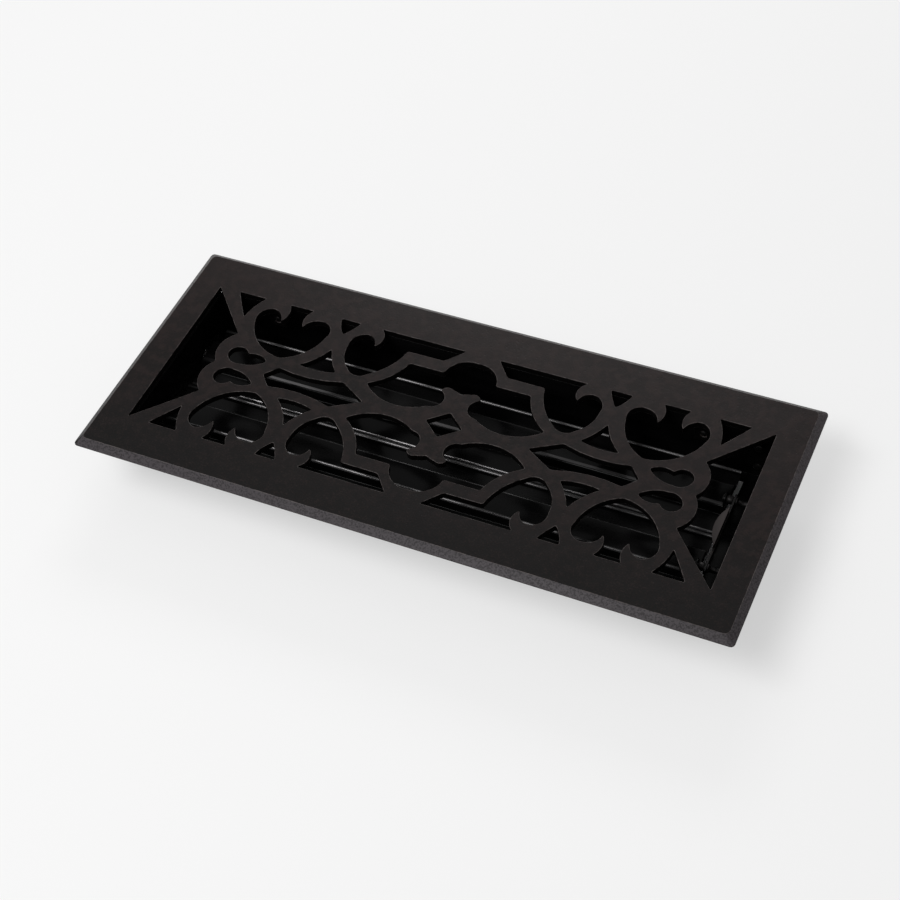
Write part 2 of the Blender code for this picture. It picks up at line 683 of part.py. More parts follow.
def make_crank_pin(side, blade, parts, material):
    """Turn the shouldered pin that joins a louver's ear to the link."""
    ear, link = EAR_SHEET / 2 + SEAT_GAP, LINK_SHEET / 2 + SEAT_GAP
    profile = [(CRANK_HEAD_RADIUS, RIGHT_EAR_X - ear - CRANK_HEAD_HEIGHT),
               (CRANK_HEAD_RADIUS, RIGHT_EAR_X - ear), (CRANK_PIN_RADIUS, RIGHT_EAR_X - ear),
               (CRANK_PIN_RADIUS, RIGHT_EAR_X + ear), (CRANK_SHOULDER_RADIUS, RIGHT_EAR_X + ear),
               (CRANK_SHOULDER_RADIUS, LINK_X - link), (CRANK_PIN_RADIUS, LINK_X - link),
               (CRANK_PIN_RADIUS, LINK_X + link), (CRANK_HEAD_RADIUS, LINK_X + link),
               (CRANK_HEAD_RADIUS, LINK_X + link + CRANK_HEAD_HEIGHT)]
    pin = turned(f"crank_pin_{side}", profile, (0.0, -CRANK_FORWARD, CRANK_RISE), ALONG_X,
                 parts, material)
    pin.parent = blade


def make_link(parts, cutters, material):
    """Cut the link bar, with its finger tab bent over at the top, about the front crank pin."""
    half, reach = LINK_HEIGHT / 2, LINK_OVERHANG
    far = LOUVER_PITCH + reach
    left = arc_points((-reach + half, half), (-reach, 0.0), (-reach + half, -half))
    right = arc_points((far - half, -half), (far, 0.0), (far - half, half))
    outline = [(-reach + half, half), *left, (far - half, -half), *right]
    origin = (LINK_X, -LOUVER_PITCH / 2 - CRANK_FORWARD, PIVOT_Z + CRANK_RISE)
    link = flat_mesh("link_bar", [outline], LINK_SHEET, parts, origin, OUTLINE_ACROSS_X)
    link.data.materials.append(material)
    middle = origin[1] + LOUVER_PITCH / 2
    neck_size = (LINK_SHEET / 2, TAB_LENGTH, TAB_RISE - LINK_SHEET / 2)
    neck_centre = (LINK_X, middle, origin[2] + neck_size[2] / 2)
    combine(link, block("tab_neck", neck_size, neck_centre, cutters), "UNION")
    outer = LINK_X + LINK_SHEET / 2
    inner = LOUVER_RIGHT + END_CLEARANCE
    end = TAB_LENGTH / 2 + OVERRUN
    pad = [(outer, -end), *arc_points((outer, -end), (inner, 0.0), (outer, end))]
    combine(link, flat_mesh("finger_pad", [pad], LINK_SHEET, cutters,
                            (0.0, middle, origin[2] + TAB_RISE)), "UNION")
    for side, y, clearance in (("front", 0.0, RUNNING_CLEARANCE),
                               ("rear", LOUVER_PITCH, OPEN_PIVOT_CLEARANCE)):
        hole = rod(f"link_hole_{side}", CRANK_PIN_RADIUS + clearance, LINK_SHEET + 2 * OVERRUN,
                   (LINK_X, origin[1] + y, origin[2]), ALONG_X, cutters)
        combine(link, hole, "DIFFERENCE")
    return link


def make_register():
    """Build every piece of the register."""
    parts = new_collection("floor_register")
    cutters = new_collection("cutters")
    iron = new_material("cast_iron", (0.030, 0.029, 0.028), 0.62, 0.25)
    black_sheet = new_material("black_sheet", (0.012, 0.012, 0.013), 0.22, 0.0)
    steel = new_material("plated_steel", (0.32, 0.31, 0.30), 0.38, 0.9)
    make_faceplate(parts, cutters, iron)
    for side, across in SIDES:
        make_side_wall(side, across, parts, cutters, black_sheet)
    for end, along in ENDS:
        make_end_wall(end, along, parts, cutters, black_sheet)
    make_corner_rivets(parts, steel)
    make_box_screws(parts, steel)
    for side, across in SIDES:
        blade = make_louver(side, across, parts, cutters, black_sheet)
        make_pivot_pins(side, blade, parts, steel)
        make_crank_pin(side, blade, parts, steel)
    make_link(parts, cutters, black_sheet)


clear_scene()
make_register()
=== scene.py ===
"""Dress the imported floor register: sandy black cast iron over a glossy sheet-metal damper."""
import json
import logging
from dataclasses import dataclass, field
from enum import Enum
from math import atan2, cos, hypot, pi, radians, sin, tan

import bmesh
import bpy
from mathutils import Matrix, Vector


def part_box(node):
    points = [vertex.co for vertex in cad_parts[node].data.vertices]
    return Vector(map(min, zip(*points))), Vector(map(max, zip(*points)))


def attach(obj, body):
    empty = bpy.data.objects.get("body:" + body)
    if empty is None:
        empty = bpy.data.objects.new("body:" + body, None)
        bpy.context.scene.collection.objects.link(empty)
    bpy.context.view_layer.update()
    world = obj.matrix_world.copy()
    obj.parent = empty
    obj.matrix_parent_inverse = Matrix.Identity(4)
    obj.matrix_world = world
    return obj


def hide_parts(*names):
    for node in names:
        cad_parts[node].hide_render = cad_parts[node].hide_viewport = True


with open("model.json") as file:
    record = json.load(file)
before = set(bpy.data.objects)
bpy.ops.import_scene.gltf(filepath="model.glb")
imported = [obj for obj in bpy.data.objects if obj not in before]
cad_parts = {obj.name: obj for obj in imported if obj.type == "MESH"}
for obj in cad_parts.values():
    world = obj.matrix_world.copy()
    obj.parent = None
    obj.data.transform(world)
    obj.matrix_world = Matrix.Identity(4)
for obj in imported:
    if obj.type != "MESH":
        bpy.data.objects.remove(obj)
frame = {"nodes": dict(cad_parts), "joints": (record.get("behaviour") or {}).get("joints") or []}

log = logging.getLogger("floor_register")

Point = tuple[float, float]
Triple = tuple[float, float, float]
Socket = bpy.types.NodeSocket
Piece = bpy.types.Object
Material = bpy.types.Material
Shape = bmesh.types.BMesh
MERGE = 0.000002
UP = Vector((0.0, 0.0, 1.0))
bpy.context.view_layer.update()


class Body(Enum):
    """The rigid bodies that the pieces ride on."""

    FRAME = "frame"
    FRONT = "louver_front"
    REAR = "louver_rear"
    LINK = "link"


class Finish(Enum):
    """The record's material slots."""

    IRON = "cast_iron"
    SHEET = "black_sheet"
    STEEL = "plated_steel"


class End(Enum):
    """The register's two ends along X."""

    LEFT = -1
    RIGHT = 1


class Side(Enum):
    """The register's two long sides across Y."""

    FRONT = -1
    REAR = 1


class NodeTree:
    """Short calls for building a node tree."""

    def __init__(self, tree: bpy.types.NodeTree) -> None:
        """Keep the tree.

        Args:
            tree: A shader or geometry node tree.
        """
        self.tree = tree

    def add(self, kind: str, **settings: object) -> bpy.types.Node:
        """Add a node and set its properties.

        Args:
            kind: The node's type name.
            **settings: Properties of the node by name.

        Returns:
            The new node.
        """
        node = self.tree.nodes.new(kind)
        for name, value in settings.items():
            setattr(node, name, value)
        return node

    def link(self, source: Socket, target: Socket) -> None:
        """Link one socket to another."""
        self.tree.links.new(source, target)

    def wire(self, *links: tuple[bpy.types.Node, str | int, bpy.types.Node, str | int]) -> None:
        """Link nodes by the names or numbers of their sockets.

        Args:
            *links: A node, its output, the node that follows and its input.
        """
        for source, output, target, entry in links:
            self.link(source.outputs[output], target.inputs[entry])


class Surface(NodeTree):
    """A Principled material that is built up from noise, masks and bumps in object space."""

    def __init__(self, name: str) -> None:
        """Make the material with its shader and its object coordinates.

        Args:
            name: The material's name.
        """
        self.material = bpy.data.materials.new(name)
        self.material.use_nodes = True
        super().__init__(self.material.node_tree)
        self.tree.nodes.clear()
        self.shader = self.add("ShaderNodeBsdfPrincipled")
        self.output = self.add("ShaderNodeOutputMaterial")
        self.link(self.shader.outputs["BSDF"], self.output.inputs["Surface"])
        self.place = self.add("ShaderNodeTexCoord").outputs["Object"]

    def stretched(self, scale: Triple) -> Socket:
        """Return object coordinates scaled along each axis."""
        mapping = self.add("ShaderNodeMapping")
        mapping.inputs["Scale"].default_value = scale
        self.link(self.place, mapping.inputs["Vector"])
        return mapping.outputs["Vector"]

    def noise(self, per_metre: float, detail: float = 4.0, roughness: float = 0.55,
              place: Socket | None = None) -> Socket:
        """Add fractal noise.

        Args:
            per_metre: How many features there are in a metre.
            detail: The number of finer layers.
            roughness: How strong the finer layers are.
            place: The coordinates, or none for the object's own.

        Returns:
            The noise's value.
        """
        node = self.add("ShaderNodeTexNoise")
        node.inputs["Scale"].default_value = per_metre
        node.inputs["Detail"].default_value = detail
        node.inputs["Roughness"].default_value = roughness
        self.link(place or self.place, node.inputs["Vector"])
        return node.outputs["Fac"]

    def cells(self, per_metre: float) -> Socket:
        """Add cells and return the distance from the middle of each."""
        node = self.add("ShaderNodeTexVoronoi")
        node.inputs["Scale"].default_value = per_metre
        self.link(self.place, node.inputs["Vector"])
        return node.outputs["Distance"]

    def spread(self, value: Socket, low: float, high: float,
               to_low: float = 0.0, to_high: float = 1.0) -> Socket:
        """Map a value's range onto another one, and clamp it.

        Args:
            value: The value to map.
            low: The value that becomes to_low.
            high: The value that becomes to_high.
            to_low: The result's value at low.
            to_high: The result's value at high.

        Returns:
            The mapped value.
        """
        node = self.add("ShaderNodeMapRange", interpolation_type="SMOOTHSTEP")
        for name, number in (("From Min", low), ("From Max", high), ("To Min", to_low),
                             ("To Max", to_high)):
            node.inputs[name].default_value = number
        self.link(value, node.inputs["Value"])
        return node.outputs["Result"]

    def times(self, one: Socket, other: Socket) -> Socket:
        """Multiply two values."""
        node = self.add("ShaderNodeMath", operation="MULTIPLY")
        self.link(one, node.inputs[0])
        self.link(other, node.inputs[1])
        return node.outputs[0]

    def tag(self, name: str) -> Socket:
        """Return the value that the mesh stores under a name."""
        return self.add("ShaderNodeAttribute", attribute_name=name).outputs["Fac"]

    def along(self, axis: str) -> Socket:
        """Return the place along one axis."""
        split = self.add("ShaderNodeSeparateXYZ")
        self.link(self.place, split.inputs[0])
        return split.outputs[axis]
    def blend(self, mask: Socket, low: Socket | Triple,
              high: Socket | Triple) -> Socket:
        """Blend two colours by a mask.

        Args:
            mask: 0 for low, 1 for high.
            low: A colour, or a socket that gives one.
            high: A colour, or a socket that gives one.

        Returns:
            The blended colour.
        """
        node = self.add("ShaderNodeMix", data_type="RGBA")
        self.link(mask, node.inputs[0])
        for socket, colour in ((node.inputs[6], low), (node.inputs[7], high)):
            if isinstance(colour, tuple):
                socket.default_value = (*colour, 1.0)
            else:
                self.link(colour, socket)
        return node.outputs[2]

    def coats(self, colour: Socket, *coats: tuple[Socket, Triple]) -> Socket:
        """Lay colours over a first one, each where its mask is high.

        Args:
            colour: The colour below.
            *coats: Pairs of a mask and a colour, the lowest first.

        Returns:
            The colour that shows.
        """
        for mask, above in coats:
            colour = self.blend(mask, colour, above)
        return colour
    def bumps(self, *layers: tuple[Socket, float]) -> None:
        """Stack bumps on the shader's normal.

        Args:
            *layers: Pairs of a height's socket and its depth in metres.
        """
        below = None
        for height, depth in layers:
            node = self.add("ShaderNodeBump")
            node.inputs["Distance"].default_value = depth
            self.link(height, node.inputs["Height"])
            if below is not None:
                self.link(below, node.inputs["Normal"])
            below = node.outputs["Normal"]
        self.link(below, self.shader.inputs["Normal"])

    def finish(self, colour: Socket, roughness: Socket, specular: float) -> Material:
        """Put the colour and the roughness on the shader.

        Args:
            colour: The base colour.
            roughness: The roughness.
            specular: The specular level.

        Returns:
            The finished material.
        """
        self.link(colour, self.shader.inputs["Base Color"])
        self.link(roughness, self.shader.inputs["Roughness"])
        self.shader.inputs["Specular IOR Level"].default_value = specular
        return self.material

@dataclass(frozen=True)
class SandCastIron:
    """Matt black coating on a sand casting, lighter on its rounded edges as wear and painted
    glint, with painted shade towards the front and on upright faces, painted light towards the
    rear and a painted highlight on the rim's slopes.
    """

    name: str = "sand_cast_iron"
    hollow: Triple = (0.0028, 0.0018, 0.0017)
    coat: Triple = (0.0052, 0.0033, 0.0032)
    rust: Triple = (0.0098, 0.0058, 0.0054)
    grain: Triple = (0.0130, 0.0090, 0.0086)
    # Painted shade towards the front and painted light towards the rear.
    front_painted_shade: Triple = (0.0022, 0.0020, 0.0020)
    rear_painted_light: Triple = (0.0200, 0.0135, 0.0130)
    # Painted shade on upright faces.
    shaded: Triple = (0.0014, 0.0012, 0.0012)
    # Painted highlight on the rim's slopes.
    bevel_highlight: Triple = (0.0560, 0.0500, 0.0540)
    # Edge wear and painted glint on the rounded edges.
    edge: Triple = (0.0720, 0.0620, 0.0600)
    grains_per_metre: float = 1150.0
    pits_per_metre: float = 520.0
    blotches_per_metre: float = 22.0
    mottles_per_metre: float = 190.0
    wear_per_metre: float = 260.0
    # Where the painted shade at the front and the painted light at the rear spread along Y.
    walked_on: Point = (-0.070, -0.005)
    by_the_wall: Point = (0.0, 0.066)
    relief: tuple[float, ...] = (0.0003, 0.00005, 0.00002, 0.00003)
    specular: float = 0.10

    def make(self) -> Material:
        """Build the material.

        Returns:
            The finished material.
        """
        face = Surface(self.name)
        grain = face.noise(self.grains_per_metre, 2.0, 0.6)
        swell = face.noise(self.blotches_per_metre, 3.0)
        pits = face.spread(face.cells(self.pits_per_metre), 0.08, 0.30)
        speckle = face.spread(grain, 0.47, 0.72)
        mottle = face.noise(self.mottles_per_metre, 4.0, 0.62)
        patchy = face.spread(face.noise(self.wear_per_metre, 5.0, 0.7), 0.36, 0.62)
        back = face.along("Y")
        colour = face.coats(
            face.blend(face.spread(swell, 0.35, 0.65), self.hollow, self.coat),
            (face.spread(mottle, 0.44, 0.62), self.rust),
            # Painted shade darkens the front of the plate and painted light lightens its rear.
            (face.spread(back, *self.walked_on, 0.85, 0.0), self.front_painted_shade),
            (face.spread(back, *self.by_the_wall, 0.0, 0.2), self.rear_painted_light),
            (face.times(speckle, face.spread(mottle, 0.40, 0.60, 0.5, 1.0)), self.grain),
            # Upright faces get painted shade.
            (face.tag("cast_side"), self.shaded),
            # The rim's slopes get a painted highlight, strongest along the front.
            (face.times(face.tag("rim_wear"), face.spread(grain, 0.36, 0.58, 0.42, 1.0)),
             self.bevel_highlight),
            # The rounded edges are lightened as wear and as painted glint.
            (face.times(face.tag("edge_wear"), patchy), self.edge))
        face.bumps(*zip((swell, mottle, pits, grain), self.relief))
        return face.finish(colour, face.spread(grain, 0.3, 0.7, 0.38, 0.28), self.specular)


@dataclass(frozen=True)
class BlackEnamel:
    """Black enamel on thin sheet, faintly wavy and specked with dust, with bright metallic strips
    along its folds as painted highlights, dimmed by painted shade at the left end and fading
    towards the right.
    """

    name: str = "black_enamel"
    deep: Triple = (0.0011, 0.0011, 0.0012)
    thin: Triple = (0.0030, 0.0029, 0.0030)
    dust: Triple = (0.0160, 0.0150, 0.0145)
    edge: Triple = (0.0050, 0.0048, 0.0048)
    # Bright metallic tint of the painted highlight strips along the folds.
    steel: Triple = (0.1500, 0.1460, 0.1480)
    # Where painted shade dims the fold highlights at the left end, and where they fade towards the
    # right.
    left_end_painted_shade: Point = (-0.130, -0.120)
    highlight_dims_right: Point = (-0.10, 0.13)
    roughness: Point = (0.15, 0.30)
    waves_per_metre: float = 28.0
    smears_per_metre: float = 70.0
    highlight_breaks_per_metre: float = 90.0
    wear_per_metre: float = 300.0
    peel_per_metre: float = 620.0
    specks_per_metre: float = 1700.0
    relief: Point = (0.00025, 0.00001)
    specular: float = 0.06

    def make(self) -> Material:
        """Build the material.

        Returns:
            The finished material.
        """
        face = Surface(self.name)
        waves = face.noise(self.waves_per_metre, 2.0, 0.4, face.stretched((0.35, 1.0, 1.0)))
        peel = face.noise(self.peel_per_metre, 2.0, 0.5)
        smears = face.noise(self.smears_per_metre, 5.0, 0.6, face.stretched((0.25, 1.0, 1.0)))
        specks = face.spread(face.noise(self.specks_per_metre, 2.0, 0.6), 0.66, 0.80)
        patchy = face.spread(face.noise(self.wear_per_metre, 4.0, 0.6), 0.48, 0.70)
        across = face.along("X")
        # Painted shade dims the fold highlights at the left end, and they fade towards the right.
        along = face.times(face.spread(across, *self.left_end_painted_shade, 0.08, 1.0),
                           face.spread(across, *self.highlight_dims_right, 1.0, 0.45))
        highlight_breaks = face.noise(self.highlight_breaks_per_metre, 4.0, 0.6, face.stretched((0.3, 1.0, 1.0)))
        # The folds' bright metallic strips are painted highlights, broken up by noise.
        highlight_strip = face.times(face.times(face.tag("fold_rub"), along),
                          face.spread(highlight_breaks, 0.25, 0.62, 0.60, 1.0))
        colour = face.coats(
            face.blend(face.spread(smears, 0.35, 0.70), self.deep, self.thin),
            (face.times(specks, face.spread(smears, 0.3, 0.8)), self.dust),
            (face.times(face.tag("edge_wear"), patchy), self.edge), (highlight_strip, self.steel))
        # The painted highlight strips are metallic, so they mirror the pale surroundings.
        face.link(highlight_strip, face.shader.inputs["Metallic"])
        face.bumps(*zip((waves, peel), self.relief))
        return face.finish(colour, face.spread(smears, 0.3, 0.75, *self.roughness), self.specular)


@dataclass(frozen=True)
class PaintWithLitTop:
    """Dull black paint on the link, lighter brownish grey over the tab's top as painted light and
    on its rounded edges as wear.
    """

    name: str = "handled_black_paint"
    paint: Triple = (0.0026, 0.0024, 0.0024)
    scuff: Triple = (0.0110, 0.0092, 0.0088)
    # Painted light on the tab's top, also used as wear on the rounded edges.
    lit_top_and_wear: Triple = (0.0230, 0.0182, 0.0176)
    fade: float = 0.0020
    patches_per_metre: float = 480.0
    smears_per_metre: float = 190.0
    relief: Point = (0.00006, 0.00003)
    specular: float = 0.14

    def make(self, height: float) -> Material:
        """Build the material.

        Args:
            height: The height above which the top gets painted light.

        Returns:
            The finished material.
        """
        face = Surface(self.name)
        patches = face.noise(self.patches_per_metre, 5.0, 0.65)
        smears = face.noise(self.smears_per_metre, 4.0, 0.6, face.stretched((1.0, 0.35, 1.0)))
        high = face.spread(face.along("Z"), height - self.fade, height)
        colour = face.coats(
            face.blend(face.spread(patches, 0.50, 0.68), self.paint, self.scuff),
            # The top above the given height gets painted light.
            (face.times(high, face.spread(smears, 0.28, 0.60, 0.5, 1.0)), self.lit_top_and_wear),
            (face.times(face.tag("edge_wear"), face.spread(patches, 0.40, 0.62)), self.lit_top_and_wear))
        face.bumps(*zip((smears, patches), self.relief))
        return face.finish(colour, face.spread(smears, 0.3, 0.7, 0.34, 0.52), self.specular)


@dataclass(frozen=True)
class PlatedSteel:
    """Black zinc plate on turned steel, worn to a dull grey in patches."""

    name: str = "black_zinc_plate"
    bright: Triple = (0.022, 0.021, 0.021)
    dull: Triple = (0.006, 0.0055, 0.0055)
    patches_per_metre: float = 420.0
    scratches_per_metre: float = 900.0
    relief: Point = (0.00002, 0.00003)
    metallic: float = 0.8
    specular: float = 0.2

    def make(self) -> Material:
        """Build the material.

        Returns:
            The finished material.
        """
        face = Surface(self.name)
        patches = face.noise(self.patches_per_metre, 5.0, 0.65)
        scratches = face.noise(self.scratches_per_metre, 3.0, 0.6,
                               face.stretched((3.0, 0.4, 1.0)))
        colour = face.blend(face.spread(patches, 0.36, 0.66), self.bright, self.dull)
        face.shader.inputs["Metallic"].default_value = self.metallic
        face.bumps(*zip((scratches, patches), self.relief))
        return face.finish(colour, face.spread(patches, 0.3, 0.7, 0.36, 0.58), self.specular)


def in_scene(name: str, content: bpy.types.ID) -> Piece:
    """Make an object of a mesh, curve, light or camera and link it to the scene."""
    piece = bpy.data.objects.new(name, content)
    bpy.context.scene.collection.objects.link(piece)
    return piece


def new_piece(name: str, shape: Shape) -> Piece:
    """Turn a bmesh into an object at the origin.

    Args:
        name: The piece's name.
        shape: Its mesh, which is freed.

    Returns:
        The new object, linked to the scene.
    """
    mesh = bpy.data.meshes.new(name)
    shape.to_mesh(mesh)
    shape.free()
    # The solids' stored normals no longer fit a rounded mesh and would shade its flats as curved
    stale = mesh.attributes.get("custom_normal")
    if stale is not None:
        mesh.attributes.remove(stale)
    return in_scene(name, mesh)


def evaluated_mesh(piece: Piece) -> bpy.types.Mesh:
    """Return the mesh that an object's curve or modifiers give."""
    bpy.context.view_layer.update()
    return bpy.data.meshes.new_from_object(
        piece.evaluated_get(bpy.context.evaluated_depsgraph_get()))


def applied(piece: Piece) -> Piece:
    """Turn a piece's modifiers into plain mesh.

    Args:
        piece: The object with its modifiers.

    Returns:
        The same object with a plain mesh.
    """
    mesh = evaluated_mesh(piece)
    piece.modifiers.clear()
    piece.data = mesh
    return piece


def fill_anew(shape: Shape, level: float, up: int) -> None:
    """Fill one flat level of a mesh anew from its rims, so that it has no slivers.

    Args:
        shape: The mesh to change.
        level: The level's height.
        up: 1 where the level faces up, -1 where it faces down.
    """
    flat = [face for face in shape.faces if face.normal.z * up > 0.9
            and all(abs(vert.co.z - level) < MERGE for vert in face.verts)]
    inside = set(flat)
    around = {edge for face in flat for edge in face.edges}
    rim = [edge for edge in around if any(face not in inside for face in edge.link_faces)]
    bmesh.ops.delete(shape, geom=flat, context="FACES_ONLY")
    bmesh.ops.delete(shape, geom=[edge for edge in around if not edge.link_faces],
                     context="EDGES_FACES")
    made = bmesh.ops.triangle_fill(shape, use_beauty=True, edges=rim, normal=(0.0, 0.0, up))
    for face in made["geom"]:
        if isinstance(face, bmesh.types.BMFace) and face.normal.z * up < 0.0:
            face.normal_flip()


def soften(shape: Shape, width: float, sharpest: float,
           levels: tuple[float, ...] = ()) -> None:
    """Round a mesh's edges, shade it smooth and mark the rounded strips for edge wear and painted
    glint.

    Args:
        shape: The mesh to change.
        width: How far each rounding reaches on to the faces beside it.
        sharpest: The angle in degrees above which an edge is rounded.
        levels: The heights of the flat levels of a casting, its underside first. Where they
            are given, its upright edges stay as they are.
    """
    # A new layer makes every face picked before it invalid, so it comes first
    worn = shape.faces.layers.float.new("edge_wear")
    limit = radians(sharpest)
    crisp = []
    for edge in shape.edges:
        rise = (edge.verts[0].co - edge.verts[1].co).normalized().z
        if (len(edge.link_faces) == 2 and edge.calc_face_angle(0.0) > limit
                and not (levels and abs(rise) > 0.7)):
            crisp.append(edge)
    result = bmesh.ops.bevel(shape, geom=crisp, offset=width, offset_type="WIDTH", segments=2,
                             profile=0.6, affect="EDGES", clamp_overlap=False)
    strip = set(result["faces"])
    for number, level in enumerate(levels):
        fill_anew(shape, level, 1 if number else -1)
    shape.normal_update()
    for face in shape.faces:
        face.smooth = True
        face[worn] = 1.0 if face in strip else 0.0
    for edge in shape.edges:
        sides = [face in strip for face in edge.link_faces]
        edge.smooth = len(sides) == 2 and (sides[0] == sides[1])
        if len(sides) == 2 and not any(sides):
            edge.smooth = edge.calc_face_angle(0.0) < limit


def softened_node(name: str, node: str, width: float, sharpest: float,
                  levels: tuple[float, ...] = ()) -> Piece:
    """Copy a solid, merge its loose triangles and round its edges.

    Args:
        name: The new piece's name.
        node: The solid that is copied.
        width: How far each rounding reaches.
        sharpest: The angle in degrees above which an edge is rounded.
        levels: The heights of a casting's flat levels, its underside first.

    Returns:
        The new piece.
    """
    shape = bmesh.new()
    shape.from_mesh(frame["nodes"][node].data)
    bmesh.ops.remove_doubles(shape, verts=shape.verts, dist=MERGE)
    if levels:
        bmesh.ops.dissolve_limit(shape, angle_limit=radians(0.5), verts=shape.verts,
                                 edges=shape.edges)
    soften(shape, width, sharpest, levels)
    return new_piece(name, shape)


def turned_part(name: str, profile: list[Point], start: Vector, axis: Vector,
                sides: int = 40) -> Piece:
    """Turn a profile about an axis.

    Args:
        name: The new piece's name.
        profile: Pairs of radius and distance along the axis.
        start: The point on the axis where the distances begin.
        axis: The axis's direction.
        sides: The number of steps round the axis.

    Returns:
        The new piece.
    """
    across = axis.orthogonal().normalized()
    up = axis.cross(across)
    shape = bmesh.new()
    rings = []
    for radius, along in profile:
        if radius <= 0.0:
            rings.append([shape.verts.new(start + axis * along)] * sides)
            continue
        rings.append([shape.verts.new(start + axis * along
                                      + (across * cos(turn) + up * sin(turn)) * radius)
                      for turn in (2 * pi * step / sides for step in range(sides))])
    for near, far in zip(rings, rings[1:]):
        for step in range(sides):
            after = (step + 1) % sides
            corners = [near[step], near[after], far[after], far[step]]
            unique = list(dict.fromkeys(corners))
            if len(unique) > 2:
                shape.faces.new(unique)
    bmesh.ops.recalc_face_normals(shape, faces=shape.faces)
    for face in shape.faces:
        face.smooth = True
    for edge in shape.edges:
        edge.smooth = edge.calc_face_angle(0.0) < radians(50.0)
    return new_piece(name, shape)


def joined(name: str, pieces: list[Piece]) -> Piece:
    """Join several objects' meshes into one piece.

    Args:
        name: The new piece's name.
        pieces: The objects, which are removed.

    Returns:
        The new piece.
    """
    shape = bmesh.new()
    for piece in pieces:
        shape.from_mesh(piece.data)
        bpy.data.objects.remove(piece, do_unlink=True)
    return new_piece(name, shape)


def place_piece(piece: Piece, material: Material, finish: Finish,
                body: Body, *nodes: str) -> None:
    """Dress a finished piece, fix it to its body and let it stand for its solids.

    Args:
        piece: The finished piece.
        material: Its material.
        finish: The record's slot for it; not used.
        body: The body that carries it.
        *nodes: The solids that it stands for.
    """
    piece.data.materials.clear()
    piece.data.materials.append(material)
    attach(piece, body.value)
    if nodes:
        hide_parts(*nodes)
    log.info("%s: %d faces on %s", piece.name, len(piece.data.polygons), body.value)


class SheetTree(NodeTree):
    """A geometry node tree with named inputs, which is run on one mesh."""

    def __init__(self, name: str, *inputs: tuple[str, str]) -> None:
        """Make the tree with its inputs, ending in a node that sets the material.

        Args:
            name: The tree's name.
            *inputs: Pairs of an input's name and its kind, beside the mesh and its finish.
        """
        super().__init__(bpy.data.node_groups.new(name, "GeometryNodeTree"))
        face = self.tree.interface
        face.new_socket("Geometry", in_out="OUTPUT", socket_type="NodeSocketGeometry")
        for label, kind in (("Geometry", "Geometry"), *inputs, ("Finish", "Material")):
            face.new_socket(label, in_out="INPUT", socket_type="NodeSocket" + kind)
        self.entry, self.leave = self.add("NodeGroupInput"), self.add("NodeGroupOutput")
        self.real = self.add("GeometryNodeRealizeInstances")
        self.paint = self.add("GeometryNodeSetMaterial")
        self.wire((self.entry, "Finish", self.paint, "Material"),
                  (self.paint, "Geometry", self.leave, "Geometry"))

    def run(self, name: str, shape: Shape, values: dict[str, object]) -> Piece:
        """Run the tree on a mesh.

        Args:
            name: The new piece's name.
            shape: The mesh, which is freed.
            values: The inputs' values by name.

        Returns:
            The new piece, as a plain mesh.
        """
        piece = new_piece(name, shape)
        step = piece.modifiers.new(self.tree.name, "NODES")
        step.node_group = self.tree
        for socket in self.tree.interface.items_tree:
            if socket.in_out == "INPUT" and socket.name in values:
                step[socket.identifier] = values[socket.name]
        return applied(piece)


class InstanceTree(SheetTree):
    """A geometry node tree that sets one fastener on each point of a mesh."""

    def __init__(self, name: str) -> None:
        """Build the tree.

        Args:
            name: The tree's name.
        """
        super().__init__(name, ("Fastener", "Object"), ("Turn Range", "Float"), ("Seed", "Int"))
        source = self.add("GeometryNodeObjectInfo", transform_space="ORIGINAL")
        facing = self.add("GeometryNodeInputNamedAttribute", data_type="FLOAT_VECTOR")
        facing.inputs["Name"].default_value = "facing"
        aim = self.add("FunctionNodeAlignRotationToVector", axis="Z")
        turn = self.add("FunctionNodeRandomValue", data_type="FLOAT")
        spin = self.add("FunctionNodeAxisAngleToRotation")
        spin.inputs["Axis"].default_value = UP
        both = self.add("FunctionNodeRotateRotation", rotation_space="LOCAL")
        scatter = self.add("GeometryNodeInstanceOnPoints")
        self.wire((self.entry, "Fastener", source, "Object"), (self.entry, "Turn Range", turn, 3),
                  (self.entry, "Seed", turn, "Seed"), (facing, "Attribute", aim, "Vector"),
                  (turn, 1, spin, "Angle"), (aim, "Rotation", both, "Rotation"),
                  (spin, "Rotation", both, "Rotate By"),
                  (self.entry, "Geometry", scatter, "Points"),
                  (source, "Geometry", scatter, "Instance"),
                  (both, "Rotation", scatter, "Rotation"),
                  (scatter, "Instances", self.real, "Geometry"),
                  (self.real, "Geometry", self.paint, "Geometry"))

    def scatter(self, name: str, fastener: Piece, spots: list[tuple[Vector, Vector]],
                material: Material, turn_range: float, seed: int) -> Piece:
        """Set the fastener on every spot and return the plain mesh.

        Args:
            name: The new piece's name.
            fastener: The fastener, its axis on Z, which is removed.
            spots: Pairs of a place and the direction that the fastener faces.
            material: The fasteners' material.
            turn_range: How far a fastener may be turned about its axis.
            seed: The seed of those turns.

        Returns:
            The new piece.
        """
        shape = bmesh.new()
        facing = shape.verts.layers.float_vector.new("facing")
        for spot, direction in spots:
            shape.verts.new(spot)[facing] = direction
        piece = self.run(name, shape, {"Fastener": fastener, "Turn Range": turn_range,
                                       "Seed": seed, "Finish": material})
        bpy.data.objects.remove(fastener, do_unlink=True)
        return piece


